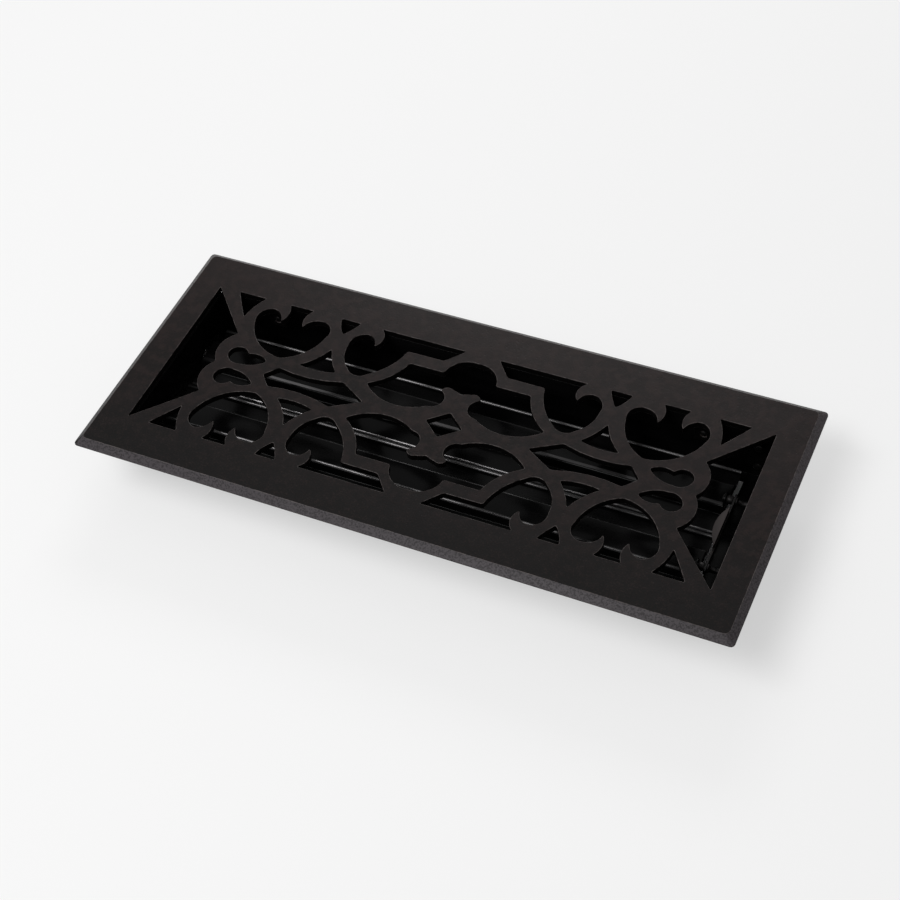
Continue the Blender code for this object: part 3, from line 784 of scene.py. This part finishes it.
class FoldTree(SheetTree):
    """A geometry node tree that draws a sheet's bent section along X."""

    parts_along = 48

    def __init__(self, name: str) -> None:
        """Build the tree.

        Args:
            name: The tree's name.
        """
        super().__init__(name, ("Start", "Float"), ("Length", "Float"),
                         ("Lengthwise Parts", "Int"))
        start, end = self.add("ShaderNodeCombineXYZ"), self.add("ShaderNodeCombineXYZ")
        finish = self.add("ShaderNodeMath", operation="ADD")
        rail = self.add("GeometryNodeCurvePrimitiveLine")
        parts = self.add("ShaderNodeMath", operation="ADD")
        parts.inputs[1].default_value = 1.0
        even = self.add("GeometryNodeResampleCurve")
        section = self.add("GeometryNodeMeshToCurve")
        draw = self.add("GeometryNodeCurveToMesh")
        smooth = self.add("GeometryNodeSetShadeSmooth")
        self.wire((self.entry, "Start", start, "X"), (self.entry, "Start", finish, 0),
                  (self.entry, "Length", finish, 1), (finish, 0, end, "X"),
                  (start, 0, rail, "Start"), (end, 0, rail, "End"),
                  (self.entry, "Lengthwise Parts", parts, 0), (parts, 0, even, "Count"),
                  (rail, "Curve", even, "Curve"), (self.entry, "Geometry", section, "Mesh"),
                  (even, "Curve", draw, "Curve"), (section, "Curve", draw, "Profile Curve"),
                  (draw, "Mesh", self.real, "Geometry"),
                  (self.real, "Geometry", smooth, "Geometry"),
                  (smooth, "Geometry", self.paint, "Geometry"))

    def draw(self, name: str, section: list[Triple], start: float, length: float,
             material: Material) -> Piece:
        """Draw a section along X as a surface without thickness.

        Args:
            name: The new piece's name.
            section: The section's points in order, each with its y, its z and the strength of the
                painted highlight there.
            start: Where the surface starts on X.
            length: How long it is.
            material: Its material.

        Returns:
            The new piece.
        """
        shape = bmesh.new()
        # A rail along X lays the profile's own X along minus Y, and its Y along minus Z
        # Each point carries the strength of the painted highlight along the folds.
        highlight_share = shape.verts.layers.float.new("fold_rub")
        corners = [shape.verts.new((-y, -z, 0.0)) for y, z, _ in section]
        for corner, (_, _, share) in zip(corners, section):
            corner[highlight_share] = share
        for pair in zip(corners, corners[1:]):
            shape.edges.new(pair)
        return self.run(name, shape, {"Start": start, "Length": length, "Finish": material,
                                      "Lengthwise Parts": self.parts_along})


def arc(middle: Point, radius: float, first: float, sweep: float, steps: int) -> list[Point]:
    """Return the points of an arc.

    Args:
        middle: The arc's middle.
        radius: Its radius.
        first: The angle where it starts.
        sweep: The angle that it covers.
        steps: The number of steps.

    Returns:
        One point more than there are steps.
    """
    turns = [first + sweep * step / steps for step in range(steps + 1)]
    return [(middle[0] + radius * cos(turn), middle[1] + radius * sin(turn)) for turn in turns]


def flat_plate(name: str, outline: list[Point], holes: list[tuple[Point, float]],
               thickness: float, place: Matrix) -> Piece:
    """Extrude a flat outline with round holes and put it in its place.

    Args:
        name: The new piece's name.
        outline: The outline's points.
        holes: Pairs of a hole's middle and its radius.
        thickness: The plate's thickness.
        place: Where the outline's plane lies.

    Returns:
        The new piece.
    """
    rounds = [arc(middle, radius, 0.0, 2 * pi, 36)[:-1] for middle, radius in holes]
    curve = bpy.data.curves.new(name, "CURVE")
    curve.dimensions = "2D"
    curve.fill_mode = "BOTH"
    curve.extrude = thickness / 2
    for points in (outline, *rounds):
        spline = curve.splines.new("POLY")
        spline.points.add(len(points) - 1)
        for point, (x, y) in zip(spline.points, points):
            point.co = (x, y, 0.0, 1.0)
        spline.use_cyclic_u = True
    source = in_scene(name, curve)
    mesh = evaluated_mesh(source)
    bpy.data.objects.remove(source, do_unlink=True)
    shape = bmesh.new()
    shape.from_mesh(mesh)
    bmesh.ops.remove_doubles(shape, verts=shape.verts, dist=MERGE)
    bmesh.ops.dissolve_limit(shape, angle_limit=radians(0.8), verts=shape.verts,
                             edges=shape.edges)
    bmesh.ops.recalc_face_normals(shape, faces=shape.faces)
    soften(shape, thickness * 0.15, 30.0)
    shape.transform(place)
    return new_piece(name, shape)


def across_x(x: float, y: float, z: float) -> Matrix:
    """Return the matrix that stands a flat outline upright, facing along X, at a place."""
    turn = Matrix(((0.0, 0.0, 1.0), (1.0, 0.0, 0.0), (0.0, 1.0, 0.0))).to_4x4()
    return Matrix.Translation((x, y, z)) @ turn


def bend(before: Point, corner: Point, after: Point, radius: float, steps: int) -> list[Point]:
    """Round the corner between two straight runs.

    Args:
        before: The point before the corner.
        corner: The corner.
        after: The point after it.
        radius: The bend's radius.
        steps: The number of steps round the bend.

    Returns:
        The bend's points.
    """
    (px, py), (qx, qy), (rx, ry) = before, corner, after
    back, on = hypot(px - qx, py - qy), hypot(rx - qx, ry - qy)
    ux, uy = (px - qx) / back, (py - qy) / back
    vx, vy = (rx - qx) / on, (ry - qy) / on
    half = atan2(abs(ux * vy - uy * vx), ux * vx + uy * vy) / 2
    reach = radius / tan(half)
    length = hypot(ux + vx, uy + vy)
    span = radius / sin(half)
    mx, my = qx + (ux + vx) / length * span, qy + (uy + vy) / length * span
    first = atan2(qy + uy * reach - my, qx + ux * reach - mx)
    sweep = (atan2(qy + vy * reach - my, qx + vx * reach - mx) - first + pi) % (2 * pi) - pi
    return arc((mx, my), radius, first, sweep, steps)


@dataclass
class Casting:
    """The pierced plate, with its cast edges rounded and marked for wear and painted glint, its
    rim's slopes for a painted highlight and its upright faces for painted shade.
    """

    rounding: float = 0.00032
    thickness: float = 0.0036
    steepest: float = 0.60
    flattest: float = 0.93
    rim_reach: float = 0.0055
    upright: float = 0.35
    node: str = "faceplate"

    def rim_highlight_share(self, normal: Vector) -> float:
        """Return how strong the painted highlight is on a slope of the rim, most along the front.
        """
        if abs(normal.y) > abs(normal.x):
            return 1.0 if normal.y < 0.0 else 0.0
        return 0.8 if normal.x > 0.0 else 0.0

    def build(self, iron: Material) -> None:
        """Build the casting's piece.

        Args:
            iron: The material of the casting.
        """
        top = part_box(self.node)[1].z
        piece = softened_node("face_casting", self.node, self.rounding, 20.0,
                              (top - self.thickness, top))
        rim = piece.data.attributes.new("rim_wear", "FLOAT", "FACE")
        side = piece.data.attributes.new("cast_side", "FLOAT", "FACE")
        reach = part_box(self.node)[1]
        for face in piece.data.polygons:
            x, y, _ = face.center
            outside = abs(x) > reach.x - self.rim_reach or abs(y) > reach.y - self.rim_reach
            # Slopes of the rim are marked for a painted highlight, upright faces for painted
            # shade.
            if outside and self.steepest < face.normal.z < self.flattest:
                rim.data[face.index].value = self.rim_highlight_share(face.normal)
            side.data[face.index].value = float(abs(face.normal.z) < self.upright)
        place_piece(piece, iron, Finish.IRON, Body.FRAME, self.node)


@dataclass
class DamperBox:
    """The folded box: four walls, the rivets in its corners and the screws in its sides."""

    rivets: InstanceTree
    wall_rounding: float = 0.00012
    rivet_radius: float = 0.0013
    rivet_head: float = 0.0024
    rivet_rise: float = 0.0009
    screw_radius: float = 0.00175
    screw_head: float = 0.0034
    screw_rise: float = 0.0014
    socket_reach: float = 0.0021
    socket_depth: float = 0.0009
    socket_width_share: float = 0.28
    thread_chamfer: float = 0.0005
    rivet_turn: float = 0.4
    set_head_shares: tuple[Point, ...] = ((0.0, 1.0), (0.45, 1.0), (0.80, 0.72), (1.0, 0.30),
                                          (1.0, 0.0))
    widest_gap: float = 0.0005
    contact: float = 0.00002

    def build(self, enamel: Material, steel: Material) -> None:
        """Build the walls and their fasteners.

        Args:
            enamel: The walls' material.
            steel: The fasteners' material.
        """
        for place in (*Side, *End):
            node = f"box_{place.name.lower()}_wall"
            piece = softened_node(f"{place.name.lower()}_folded_wall", node, self.wall_rounding,
                                  35.0)
            self.close_up(piece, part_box(node)[1].z)
            place_piece(piece, enamel, Finish.SHEET, Body.FRAME, node)
        self.fasten("corner_rivets", "corner_rivet", self.rivet(), self.rivet_rise, steel,
                    self.rivet_turn, 3)
        self.fasten("lug_screws", "box_screw", self.screw(), self.screw_rise, steel, 2 * pi, 11)

    def close_up(self, wall: Piece, top: float) -> None:
        """Raise a wall's upper edge to the casting, so that no light gets in over it.

        Args:
            wall: The wall's piece.
            top: The height of the solid's upper edge.
        """
        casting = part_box("faceplate")[1].z - Casting.thickness
        if casting - top < self.widest_gap:
            for vert in wall.data.vertices:
                if vert.co.z > top - 2 * self.wall_rounding:
                    vert.co.z += casting - top - self.contact

    def fasten(self, name: str, stem: str, fastener: Piece, rise: float, steel: Material,
               turn_range: float, seed: int) -> None:
        """Set one kind of fastener wherever its solids are.

        Args:
            name: The new piece's name.
            stem: What the solids' names start with.
            fastener: One fastener, with Z outwards and its seat at zero.
            rise: The height of its head.
            steel: Its material.
            turn_range: How far one may be turned about its axis.
            seed: The seed of those turns.
        """
        nodes = sorted(node for node in frame["nodes"] if node.startswith(stem))
        spots = []
        for node in nodes:
            low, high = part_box(node)
            middle = (low + high) / 2
            out = Side.REAR.value if middle.y > 0.0 else Side.FRONT.value
            face = max(abs(low.y), abs(high.y)) - rise
            spots.append((Vector((middle.x, out * face, middle.z)), Vector((0.0, out, 0.0))))
        piece = self.rivets.scatter(name, fastener, spots, steel, turn_range, seed)
        place_piece(piece, steel, Finish.STEEL, Body.FRAME, *nodes)

    def rivet(self) -> Piece:
        """Turn one rivet: a domed head outside and a flatter set head inside.

        Returns:
            The rivet, with its outer head's seat at zero on Z.
        """
        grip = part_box("corner_rivet_left_front_1")
        inner = -(grip[1].y - grip[0].y) + 2 * self.rivet_rise
        set_head = [(self.rivet_head * across, inner - self.rivet_rise * deep)
                    for across, deep in self.set_head_shares]
        dome = [(self.rivet_head * cos(turn), self.rivet_rise * (0.12 + 0.88 * sin(turn)))
                for turn in (pi / 2 * step / 10 for step in range(10))]
        profile = set_head + [(self.rivet_radius, inner), (self.rivet_radius, 0.0),
                              (self.rivet_head, 0.0), *dome, (0.0, self.rivet_rise)]
        return turned_part("rivet", profile, Vector(), UP, 28)

    def screw(self) -> Piece:
        """Turn one pan-head screw and sink a cross recess in its head.

        Returns:
            The screw, with its head's seat at zero on Z.
        """
        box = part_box("box_screw_left_front")
        tip = -(box[1].y - box[0].y) + self.screw_rise
        crown = [(self.screw_head * cos(turn) ** 0.7, self.screw_rise * (0.25 + 0.75 * sin(turn)))
                 for turn in (pi / 2 * step / 9 for step in range(9))]
        profile = [(0.0, tip), (self.screw_radius * 0.7, tip),
                   (self.screw_radius, tip + self.thread_chamfer), (self.screw_radius, 0.0),
                   (self.screw_head, 0.0), *crown, (0.0, self.screw_rise)]
        screw = turned_part("screw", profile, Vector(), UP, 36)
        wide, narrow = self.socket_reach, self.socket_reach * self.socket_width_share
        for number, size in enumerate(((wide, narrow), (narrow, wide))):
            shape = bmesh.new()
            bmesh.ops.create_cube(shape, size=1.0)
            bmesh.ops.scale(shape, vec=(2 * size[0], 2 * size[1], 2 * self.socket_depth),
                            verts=shape.verts)
            bmesh.ops.translate(shape, vec=(0.0, 0.0, self.screw_rise), verts=shape.verts)
            cutter = new_piece(f"recess_{number}", shape)
            cut = screw.modifiers.new("recess", "BOOLEAN")
            cut.operation = "DIFFERENCE"
            cut.solver = "EXACT"
            cut.object = cutter
            applied(screw)
            bpy.data.objects.remove(cutter, do_unlink=True)
        return screw


@dataclass
class Louver:
    """One folded louver: rib, wings, rolled hems, ears and the pins that carry it."""

    side: Side
    fold: FoldTree
    half_width: float = 0.0200
    wing_drop: float = 0.0017
    rib_rise: float = 0.0033
    rib_top: float = 0.0071
    rib_foot: float = 0.0081
    fold_radius: float = 0.0010
    hem_radius: float = 0.0009
    # Where the painted highlight strip lies on the rib's front fold, per side, and how fast the
    # strips fade at their edges.
    crests: tuple[Point, Point] = ((-0.00680, 0.0004), (-0.00584, 0.0007))
    highlight_fade: float = 0.00025
    sheet: float = 0.0007
    ear_sheet: float = 0.0008
    ear_inset: float = 0.0002
    crank: Point = (-0.0042, 0.0062)
    horn: float = 0.0032
    pin: float = 0.0016
    pin_head: float = 0.0024
    head_rise: float = 0.0007
    collar_length: float = 0.0015
    chamfer: float = 0.00025
    wall_sheet: float = 0.0008
    crank_pin: float = 0.0014
    stud_head: float = 0.0022
    stud_step: float = 0.0021
    stud_rise: float = 0.0008
    stud_rim: float = 0.0005
    stud_outer_rim: float = 0.0004
    lip: float = 0.0002
    link_sheet: float = 0.0010
    seat: float = 0.0003
    hem_sweep: float = pi * 1.35
    # Strengths of the painted highlight strips on the folds and hems.
    crest_highlight: Point = (0.6, 0.75)
    back_fold_highlight: float = 0.16
    back_hem_highlight: float = 0.7
    axis: Vector = field(init=False)
    left: float = field(init=False)
    right: float = field(init=False)

    def __post_init__(self) -> None:
        """Read the hinge's axis and the louver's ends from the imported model."""
        hinge = f"{self.label}_louver_hinge"
        joint = next(item for item in frame["joints"] if item["name"] == hinge)
        low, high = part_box(f"louver_{self.label}")
        self.axis = Vector(joint["pos_m"])
        self.left, self.right = low.x, high.x

    @property
    def label(self) -> str:
        """The side's name in the solids' names."""
        return self.side.name.lower()

    @property
    def body(self) -> Body:
        """The body that this louver's pieces ride on."""
        return Body[self.side.name]

    @property
    def crest(self) -> Point:
        """The middle and the reach of the painted highlight strip along the rib's front fold."""
        return self.crests[self.side is Side.REAR]

    def build(self, enamel: Material, steel: Material) -> None:
        """Build the blade with its ears, and its pins.

        Args:
            enamel: The blade's material.
            steel: The pins' material.
        """
        blade = self.fold.draw(f"{self.label}_blade", self.section(), self.left,
                               self.right - self.left, enamel)
        blade.data.transform(Matrix.Translation((0.0, self.axis.y, self.axis.z)))
        wall = blade.modifiers.new("sheet", "SOLIDIFY")
        wall.thickness = self.sheet
        wall.offset = 0.0
        wall.use_even_offset = True
        applied(blade)
        piece = joined(f"{self.label}_folded_louver", [blade, *self.ears()])
        self.shade(piece)
        place_piece(piece, enamel, Finish.SHEET, self.body, f"louver_{self.label}")
        pins = joined(f"{self.label}_pins", self.pins())
        nodes = [f"pivot_pin_{end.name.lower()}_{self.label}" for end in End]
        place_piece(pins, steel, Finish.STEEL, self.body, *nodes, f"crank_pin_{self.label}")

    def shade(self, piece: Piece) -> None:
        """Shade the sheet smooth but for its cut edges."""
        shape = bmesh.new()
        shape.from_mesh(piece.data)
        bmesh.ops.remove_doubles(shape, verts=shape.verts, dist=MERGE)
        bmesh.ops.recalc_face_normals(shape, faces=shape.faces)
        for face in shape.faces:
            face.smooth = True
        for edge in shape.edges:
            edge.smooth = edge.calc_face_angle(0.0) < radians(35.0)
        shape.to_mesh(piece.data)
        shape.free()

    def hem(self, out: int) -> list[Point]:
        """Return one rolled hem from its lip to the sheet; the front one curls down.

        Args:
            out: 1 for the rear edge, -1 for the front one.

        Returns:
            The hem's points.
        """
        y = out * (self.half_width - self.hem_radius - self.sheet / 2)
        z = out * self.hem_radius - self.wing_drop
        turns = [self.hem_sweep * (1 - step / 26) for step in range(27)]
        return [(y + out * self.hem_radius * sin(turn), z - out * self.hem_radius * cos(turn))
                for turn in turns]

    def section(self) -> list[Triple]:
        """Return the whole section from the front hem to the rear one, with the strength of its
        painted highlight at each point.
        """
        front, rear = self.hem(-1), self.hem(1)
        corners = [front[-1], (-self.rib_foot, -self.wing_drop), (-self.rib_top, self.rib_rise),
                   (self.rib_top, self.rib_rise), (self.rib_foot, -self.wing_drop), rear[-1]]
        middle = [corners[0]]
        for trio in zip(corners, corners[1:], corners[2:]):
            middle += bend(*trio, self.fold_radius, 9)
        lit = [y for y in (self.crest[0], sum(self.crest))
               if y > -self.rib_top + self.fold_radius]
        middle = sorted([*middle, *((y, self.rib_rise) for y in lit)], key=lambda point: point[0])
        points = [(y, z, self.highlight_share(y, z)) for y, z in front[:-1] + middle + list(reversed(rear))]
        result = [points[0]]
        for before, after in zip(points, points[1:]):
            span = hypot(after[0] - before[0], after[1] - before[1])
            fade = self.highlight_fade / span
            if span > 4 * self.highlight_fade:
                for near, share in ((before, fade), (after, 1 - fade)):
                    y, z = (before[axis] + (after[axis] - before[axis]) * share
                            for axis in (0, 1))
                    if near[2] > 0.0:
                        result.append((y, z, 0.0))
            result.append(after)
        return result

    def highlight_share(self, y: float, z: float) -> float:
        """Return how strong the painted highlight is at a point of the section.

        Args:
            y: The point's distance behind the pivot.
            z: Its height over the pivot.

        Returns:
            Up to 1 on the folds and hems that carry the painted highlight, 0 where the enamel is
            plain.
        """
        if abs(y - self.crest[0]) < self.crest[1] + MERGE and z > 0.0:
            return self.crest_highlight[self.side is Side.REAR]
        if z > self.rib_rise - self.fold_radius * 0.12 and y > self.rib_top - self.fold_radius:
            return self.back_fold_highlight
        rolled = self.half_width - self.sheet / 2 - self.hem_radius
        below = -self.wing_drop - z
        if y < -rolled and self.hem_radius * 0.04 < below < self.hem_radius * 0.62:
            return 1.0
        over = z + self.wing_drop - self.hem_radius
        behind = rolled - self.hem_radius < y < rolled + MERGE
        return self.back_hem_highlight if behind and over > self.hem_radius * 0.4 else 0.0

    def ears(self) -> list[Piece]:
        """Return the ear that closes each end of the rib; the right one has the crank's horn."""
        foot, top = (self.rib_foot, -self.wing_drop), (self.rib_top, self.rib_rise)
        cap = [(-foot[0], foot[1]), foot, top, (-top[0], top[1])]
        (y, z), reach = self.crank, self.horn
        crown = arc(self.crank, reach, 0.0, pi, 16)
        horned = [(-foot[0], foot[1]), foot, top, (y + reach, top[1]), *crown]
        pivot = ((0.0, 0.0), self.pin + self.seat)
        joint = ((y, z), self.crank_pin + self.seat)
        inset = self.ear_inset + self.ear_sheet / 2
        return [flat_plate(f"ear_{self.label}_left", cap, [pivot], self.ear_sheet,
                           across_x(self.left + inset, self.axis.y, self.axis.z)),
                flat_plate(f"ear_{self.label}_right", horned, [pivot, joint], self.ear_sheet,
                           across_x(self.right - inset, self.axis.y, self.axis.z))]

    def pins(self) -> list[Piece]:
        """Return the two pivot pins and the crank pin, turned about their axes."""
        made = []
        for end in End:
            low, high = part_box(f"pivot_pin_{end.name.lower()}_{self.label}")
            near, far = sorted((abs(low.x), abs(high.x)))
            wall = abs(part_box(f"box_{end.name.lower()}_wall")[0 if end is End.LEFT else 1].x)
            collar = wall - self.wall_sheet - self.seat
            chamfer, head = self.chamfer, near + self.head_rise
            inner = collar - self.collar_length
            profile = [(0.0, near), (self.pin_head - chamfer, near),
                       (self.pin_head, near + chamfer), (self.pin_head, head), (self.pin, head),
                       (self.pin, inner), (self.pin_head - chamfer, inner),
                       (self.pin_head, inner + chamfer), (self.pin_head, collar - chamfer),
                       (self.pin_head - chamfer, collar), (self.pin, collar),
                       (self.pin, far - chamfer), (self.pin - chamfer, far), (0.0, far)]
            made.append(turned_part(f"pin_{self.label}_{end.name.lower()}", profile,
                                    Vector((0.0, self.axis.y, self.axis.z)),
                                    Vector((end.value, 0.0, 0.0)), 36))
        made.append(self.crank_stud())
        return made

    def crank_stud(self) -> Piece:
        """Return the shouldered pin between the horn and the link."""
        low, high = (corner.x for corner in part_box(f"crank_pin_{self.label}"))
        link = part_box("link_bar")[1].x
        near = self.right - self.ear_inset + self.seat
        far = link - self.link_sheet - self.seat
        head, step, rise, lip = self.stud_head, self.stud_step, self.stud_rise, self.lip
        profile = [(0.0, low), (head - rise, low), (head - lip, low + lip),
                   (head, low + self.stud_rim), (head, low + rise), (self.crank_pin, low + rise),
                   (self.crank_pin, near), (step - lip, near), (step, near + lip),
                   (step, far - lip), (step - lip, far), (self.crank_pin, far),
                   (self.crank_pin, link + self.seat), (head, link + self.seat),
                   (head, high - self.stud_outer_rim), (head - lip, high - lip),
                   (head - rise, high), (0.0, high)]
        start = Vector((0.0, self.axis.y + self.crank[0], self.axis.z + self.crank[1]))
        return turned_part(f"stud_{self.label}", profile, start, Vector((1.0, 0.0, 0.0)), 36)


@dataclass
class Link:
    """The link bar with its finger tab."""

    rounding: float = 0.00015
    pad_sheet: float = 0.0010

    def build(self) -> None:
        """Build the link's piece."""
        piece = softened_node("finger_link", "link_bar", self.rounding, 35.0)
        # The link's paint gets painted light on its top.
        paint = PaintWithLitTop().make(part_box("link_bar")[1].z - self.pad_sheet)
        place_piece(piece, paint, Finish.SHEET, Body.LINK, "link_bar")


@dataclass
class Studio:
    """The pale floor, the soft lamps and the camera at the photograph's angle."""

    focal_share: float = 1.96768
    azimuth: float = 30.286
    elevation: float = 49.536
    roll: float = -7.99
    camera_place: Triple = (0.286325, -0.487741, 0.643731)
    floor_colour: Triple = (0.90, 0.90, 0.90)
    ambient: float = 0.34
    background: float = 0.896
    floor_glow: float = 0.60
    even_out: Point = (0.35, 1.8)
    inset: float = 0.0006
    reach: Point = (6.0, 6.0)
    floor_height: float = -0.0002
    inner_height: float = -0.0001
    lamps: tuple[tuple[str, Triple, Point, float], ...] = (
        ("overhead_panel", (-0.55, -0.68, 1.45), (1.3, 0.6), 20.5),
        ("rear_panel", (-0.38, 1.28, 0.78), (0.8, 0.4), 7.0))

    def build(self) -> None:
        """Set up the floor, the world, the lamps, the camera and the colour view."""
        self.floor()
        self.world()
        for lamp in self.lamps:
            self.lamp(*lamp)
        self.camera()
        bpy.context.scene.view_settings.view_transform = "Standard"

    def floor(self) -> None:
        """Lay the floor under the damper box, and a sheet without any glow inside its walls."""
        self.ground("studio_floor", self.reach, self.floor_height, self.floor_glow)
        inner = (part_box("box_right_wall")[1].x - self.inset,
                 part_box("box_rear_wall")[1].y - self.inset)
        self.ground("floor_inside_walls", inner, self.inner_height, 0.0)

    def ground(self, name: str, reach: Point, height: float, share_of_glow: float) -> None:
        """Lay one flat sheet of floor.

        Args:
            name: The sheet's name.
            reach: How far it reaches from the middle along X and Y.
            height: Its height.
            share_of_glow: How much of its look the camera gets from an even glow, which
                evens out the lamps' fall-off and keeps part of the shadow.
        """
        shape = bmesh.new()
        bmesh.ops.create_grid(shape, x_segments=1, y_segments=1, size=1.0)
        bmesh.ops.scale(shape, vec=(*reach, 1.0), verts=shape.verts)
        floor = new_piece(name, shape)
        floor.location = (0.0, 0.0, height)
        surface = Surface(f"pale_{name}")
        surface.shader.inputs["Base Color"].default_value = (*self.floor_colour, 1.0)
        surface.shader.inputs["Roughness"].default_value = 0.9
        surface.shader.inputs["Specular IOR Level"].default_value = 0.1
        path, seen = surface.add("ShaderNodeLightPath"), surface.add("ShaderNodeMixShader")
        glow = surface.add("ShaderNodeEmission")
        glow.inputs["Strength"].default_value = self.background
        far = surface.add("ShaderNodeVectorMath", operation="LENGTH")
        surface.link(surface.place, far.inputs[0])
        share = surface.spread(far.outputs["Value"], *self.even_out, share_of_glow,
                               1.0 if share_of_glow else 0.0)
        surface.link(surface.times(path.outputs["Is Camera Ray"], share), seen.inputs["Fac"])
        surface.wire((surface.shader, "BSDF", seen, 1), (glow, "Emission", seen, 2),
                     (seen, 0, surface.output, "Surface"))
        floor.data.materials.append(surface.material)

    def world(self) -> None:
        """Give plain ambient light, and show the camera and reflections a pale background."""
        world = bpy.data.worlds.new("studio")
        bpy.context.scene.world = world
        world.use_nodes = True
        tree = NodeTree(world.node_tree)
        tree.tree.nodes.clear()
        path = tree.add("ShaderNodeLightPath")
        seen = tree.add("ShaderNodeMath", operation="MAXIMUM")
        through = tree.add("ShaderNodeMath", operation="MAXIMUM")
        ambient, pale = tree.add("ShaderNodeBackground"), tree.add("ShaderNodeBackground")
        mix, output = tree.add("ShaderNodeMixShader"), tree.add("ShaderNodeOutputWorld")
        ambient.inputs["Strength"].default_value = self.ambient
        pale.inputs["Strength"].default_value = self.background
        for background in (ambient, pale):
            background.inputs["Color"].default_value = (1.0, 1.0, 1.0, 1.0)
        tree.wire((path, "Is Camera Ray", seen, 0), (path, "Is Glossy Ray", seen, 1),
                  (seen, 0, through, 0), (path, "Is Transmission Ray", through, 1),
                  (through, 0, mix, "Fac"), (ambient, 0, mix, 1), (pale, 0, mix, 2),
                  (mix, 0, output, "Surface"))

    def lamp(self, name: str, place: Triple, size: Point, power: float) -> None:
        """Hang one soft panel that faces the register.

        Args:
            name: The lamp's name.
            place: Its middle.
            size: Its width and height.
            power: Its power in watts.
        """
        light = bpy.data.lights.new(name, "AREA")
        light.shape = "RECTANGLE"
        light.size, light.size_y = size
        light.energy = power
        lamp = in_scene(name, light)
        lamp.location = place
        lamp.visible_camera = False
        lamp.rotation_euler = (-Vector(place)).to_track_quat("-Z", "Y").to_euler()

    def camera(self) -> None:
        """Point the camera from the photograph's place."""
        data = bpy.data.cameras.new("photo_camera")
        data.sensor_width = 36.0
        data.lens = self.focal_share * data.sensor_width
        data.clip_start = 0.01
        camera = in_scene("photo_camera", data)
        turn, rise, lean = radians(self.azimuth), radians(self.elevation), radians(self.roll)
        ahead = Vector((-sin(turn) * cos(rise), cos(turn) * cos(rise), -sin(rise)))
        level = Vector((cos(turn), sin(turn), 0.0))
        above = level.cross(ahead)
        right = level * cos(lean) + above * sin(lean)
        up = right.cross(ahead)
        axes = Matrix((right, up, -ahead)).transposed().to_4x4()
        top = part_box("faceplate")[1].z
        camera.matrix_world = Matrix.Translation(Vector(self.camera_place)
                                                 + Vector((0.0, 0.0, top))) @ axes
        bpy.context.scene.camera = camera


def main() -> None:
    """Build the studio and the register."""
    logging.basicConfig(level=logging.INFO, format="%(message)s")
    Studio().build()
    iron, enamel, steel = SandCastIron().make(), BlackEnamel().make(), PlatedSteel().make()
    Casting().build(iron)
    DamperBox(InstanceTree("set_fasteners")).build(enamel, steel)
    fold = FoldTree("fold_sheet")
    for side in Side:
        Louver(side, fold).build(enamel, steel)
    Link().build()


if __name__ == "__main__":
    main()
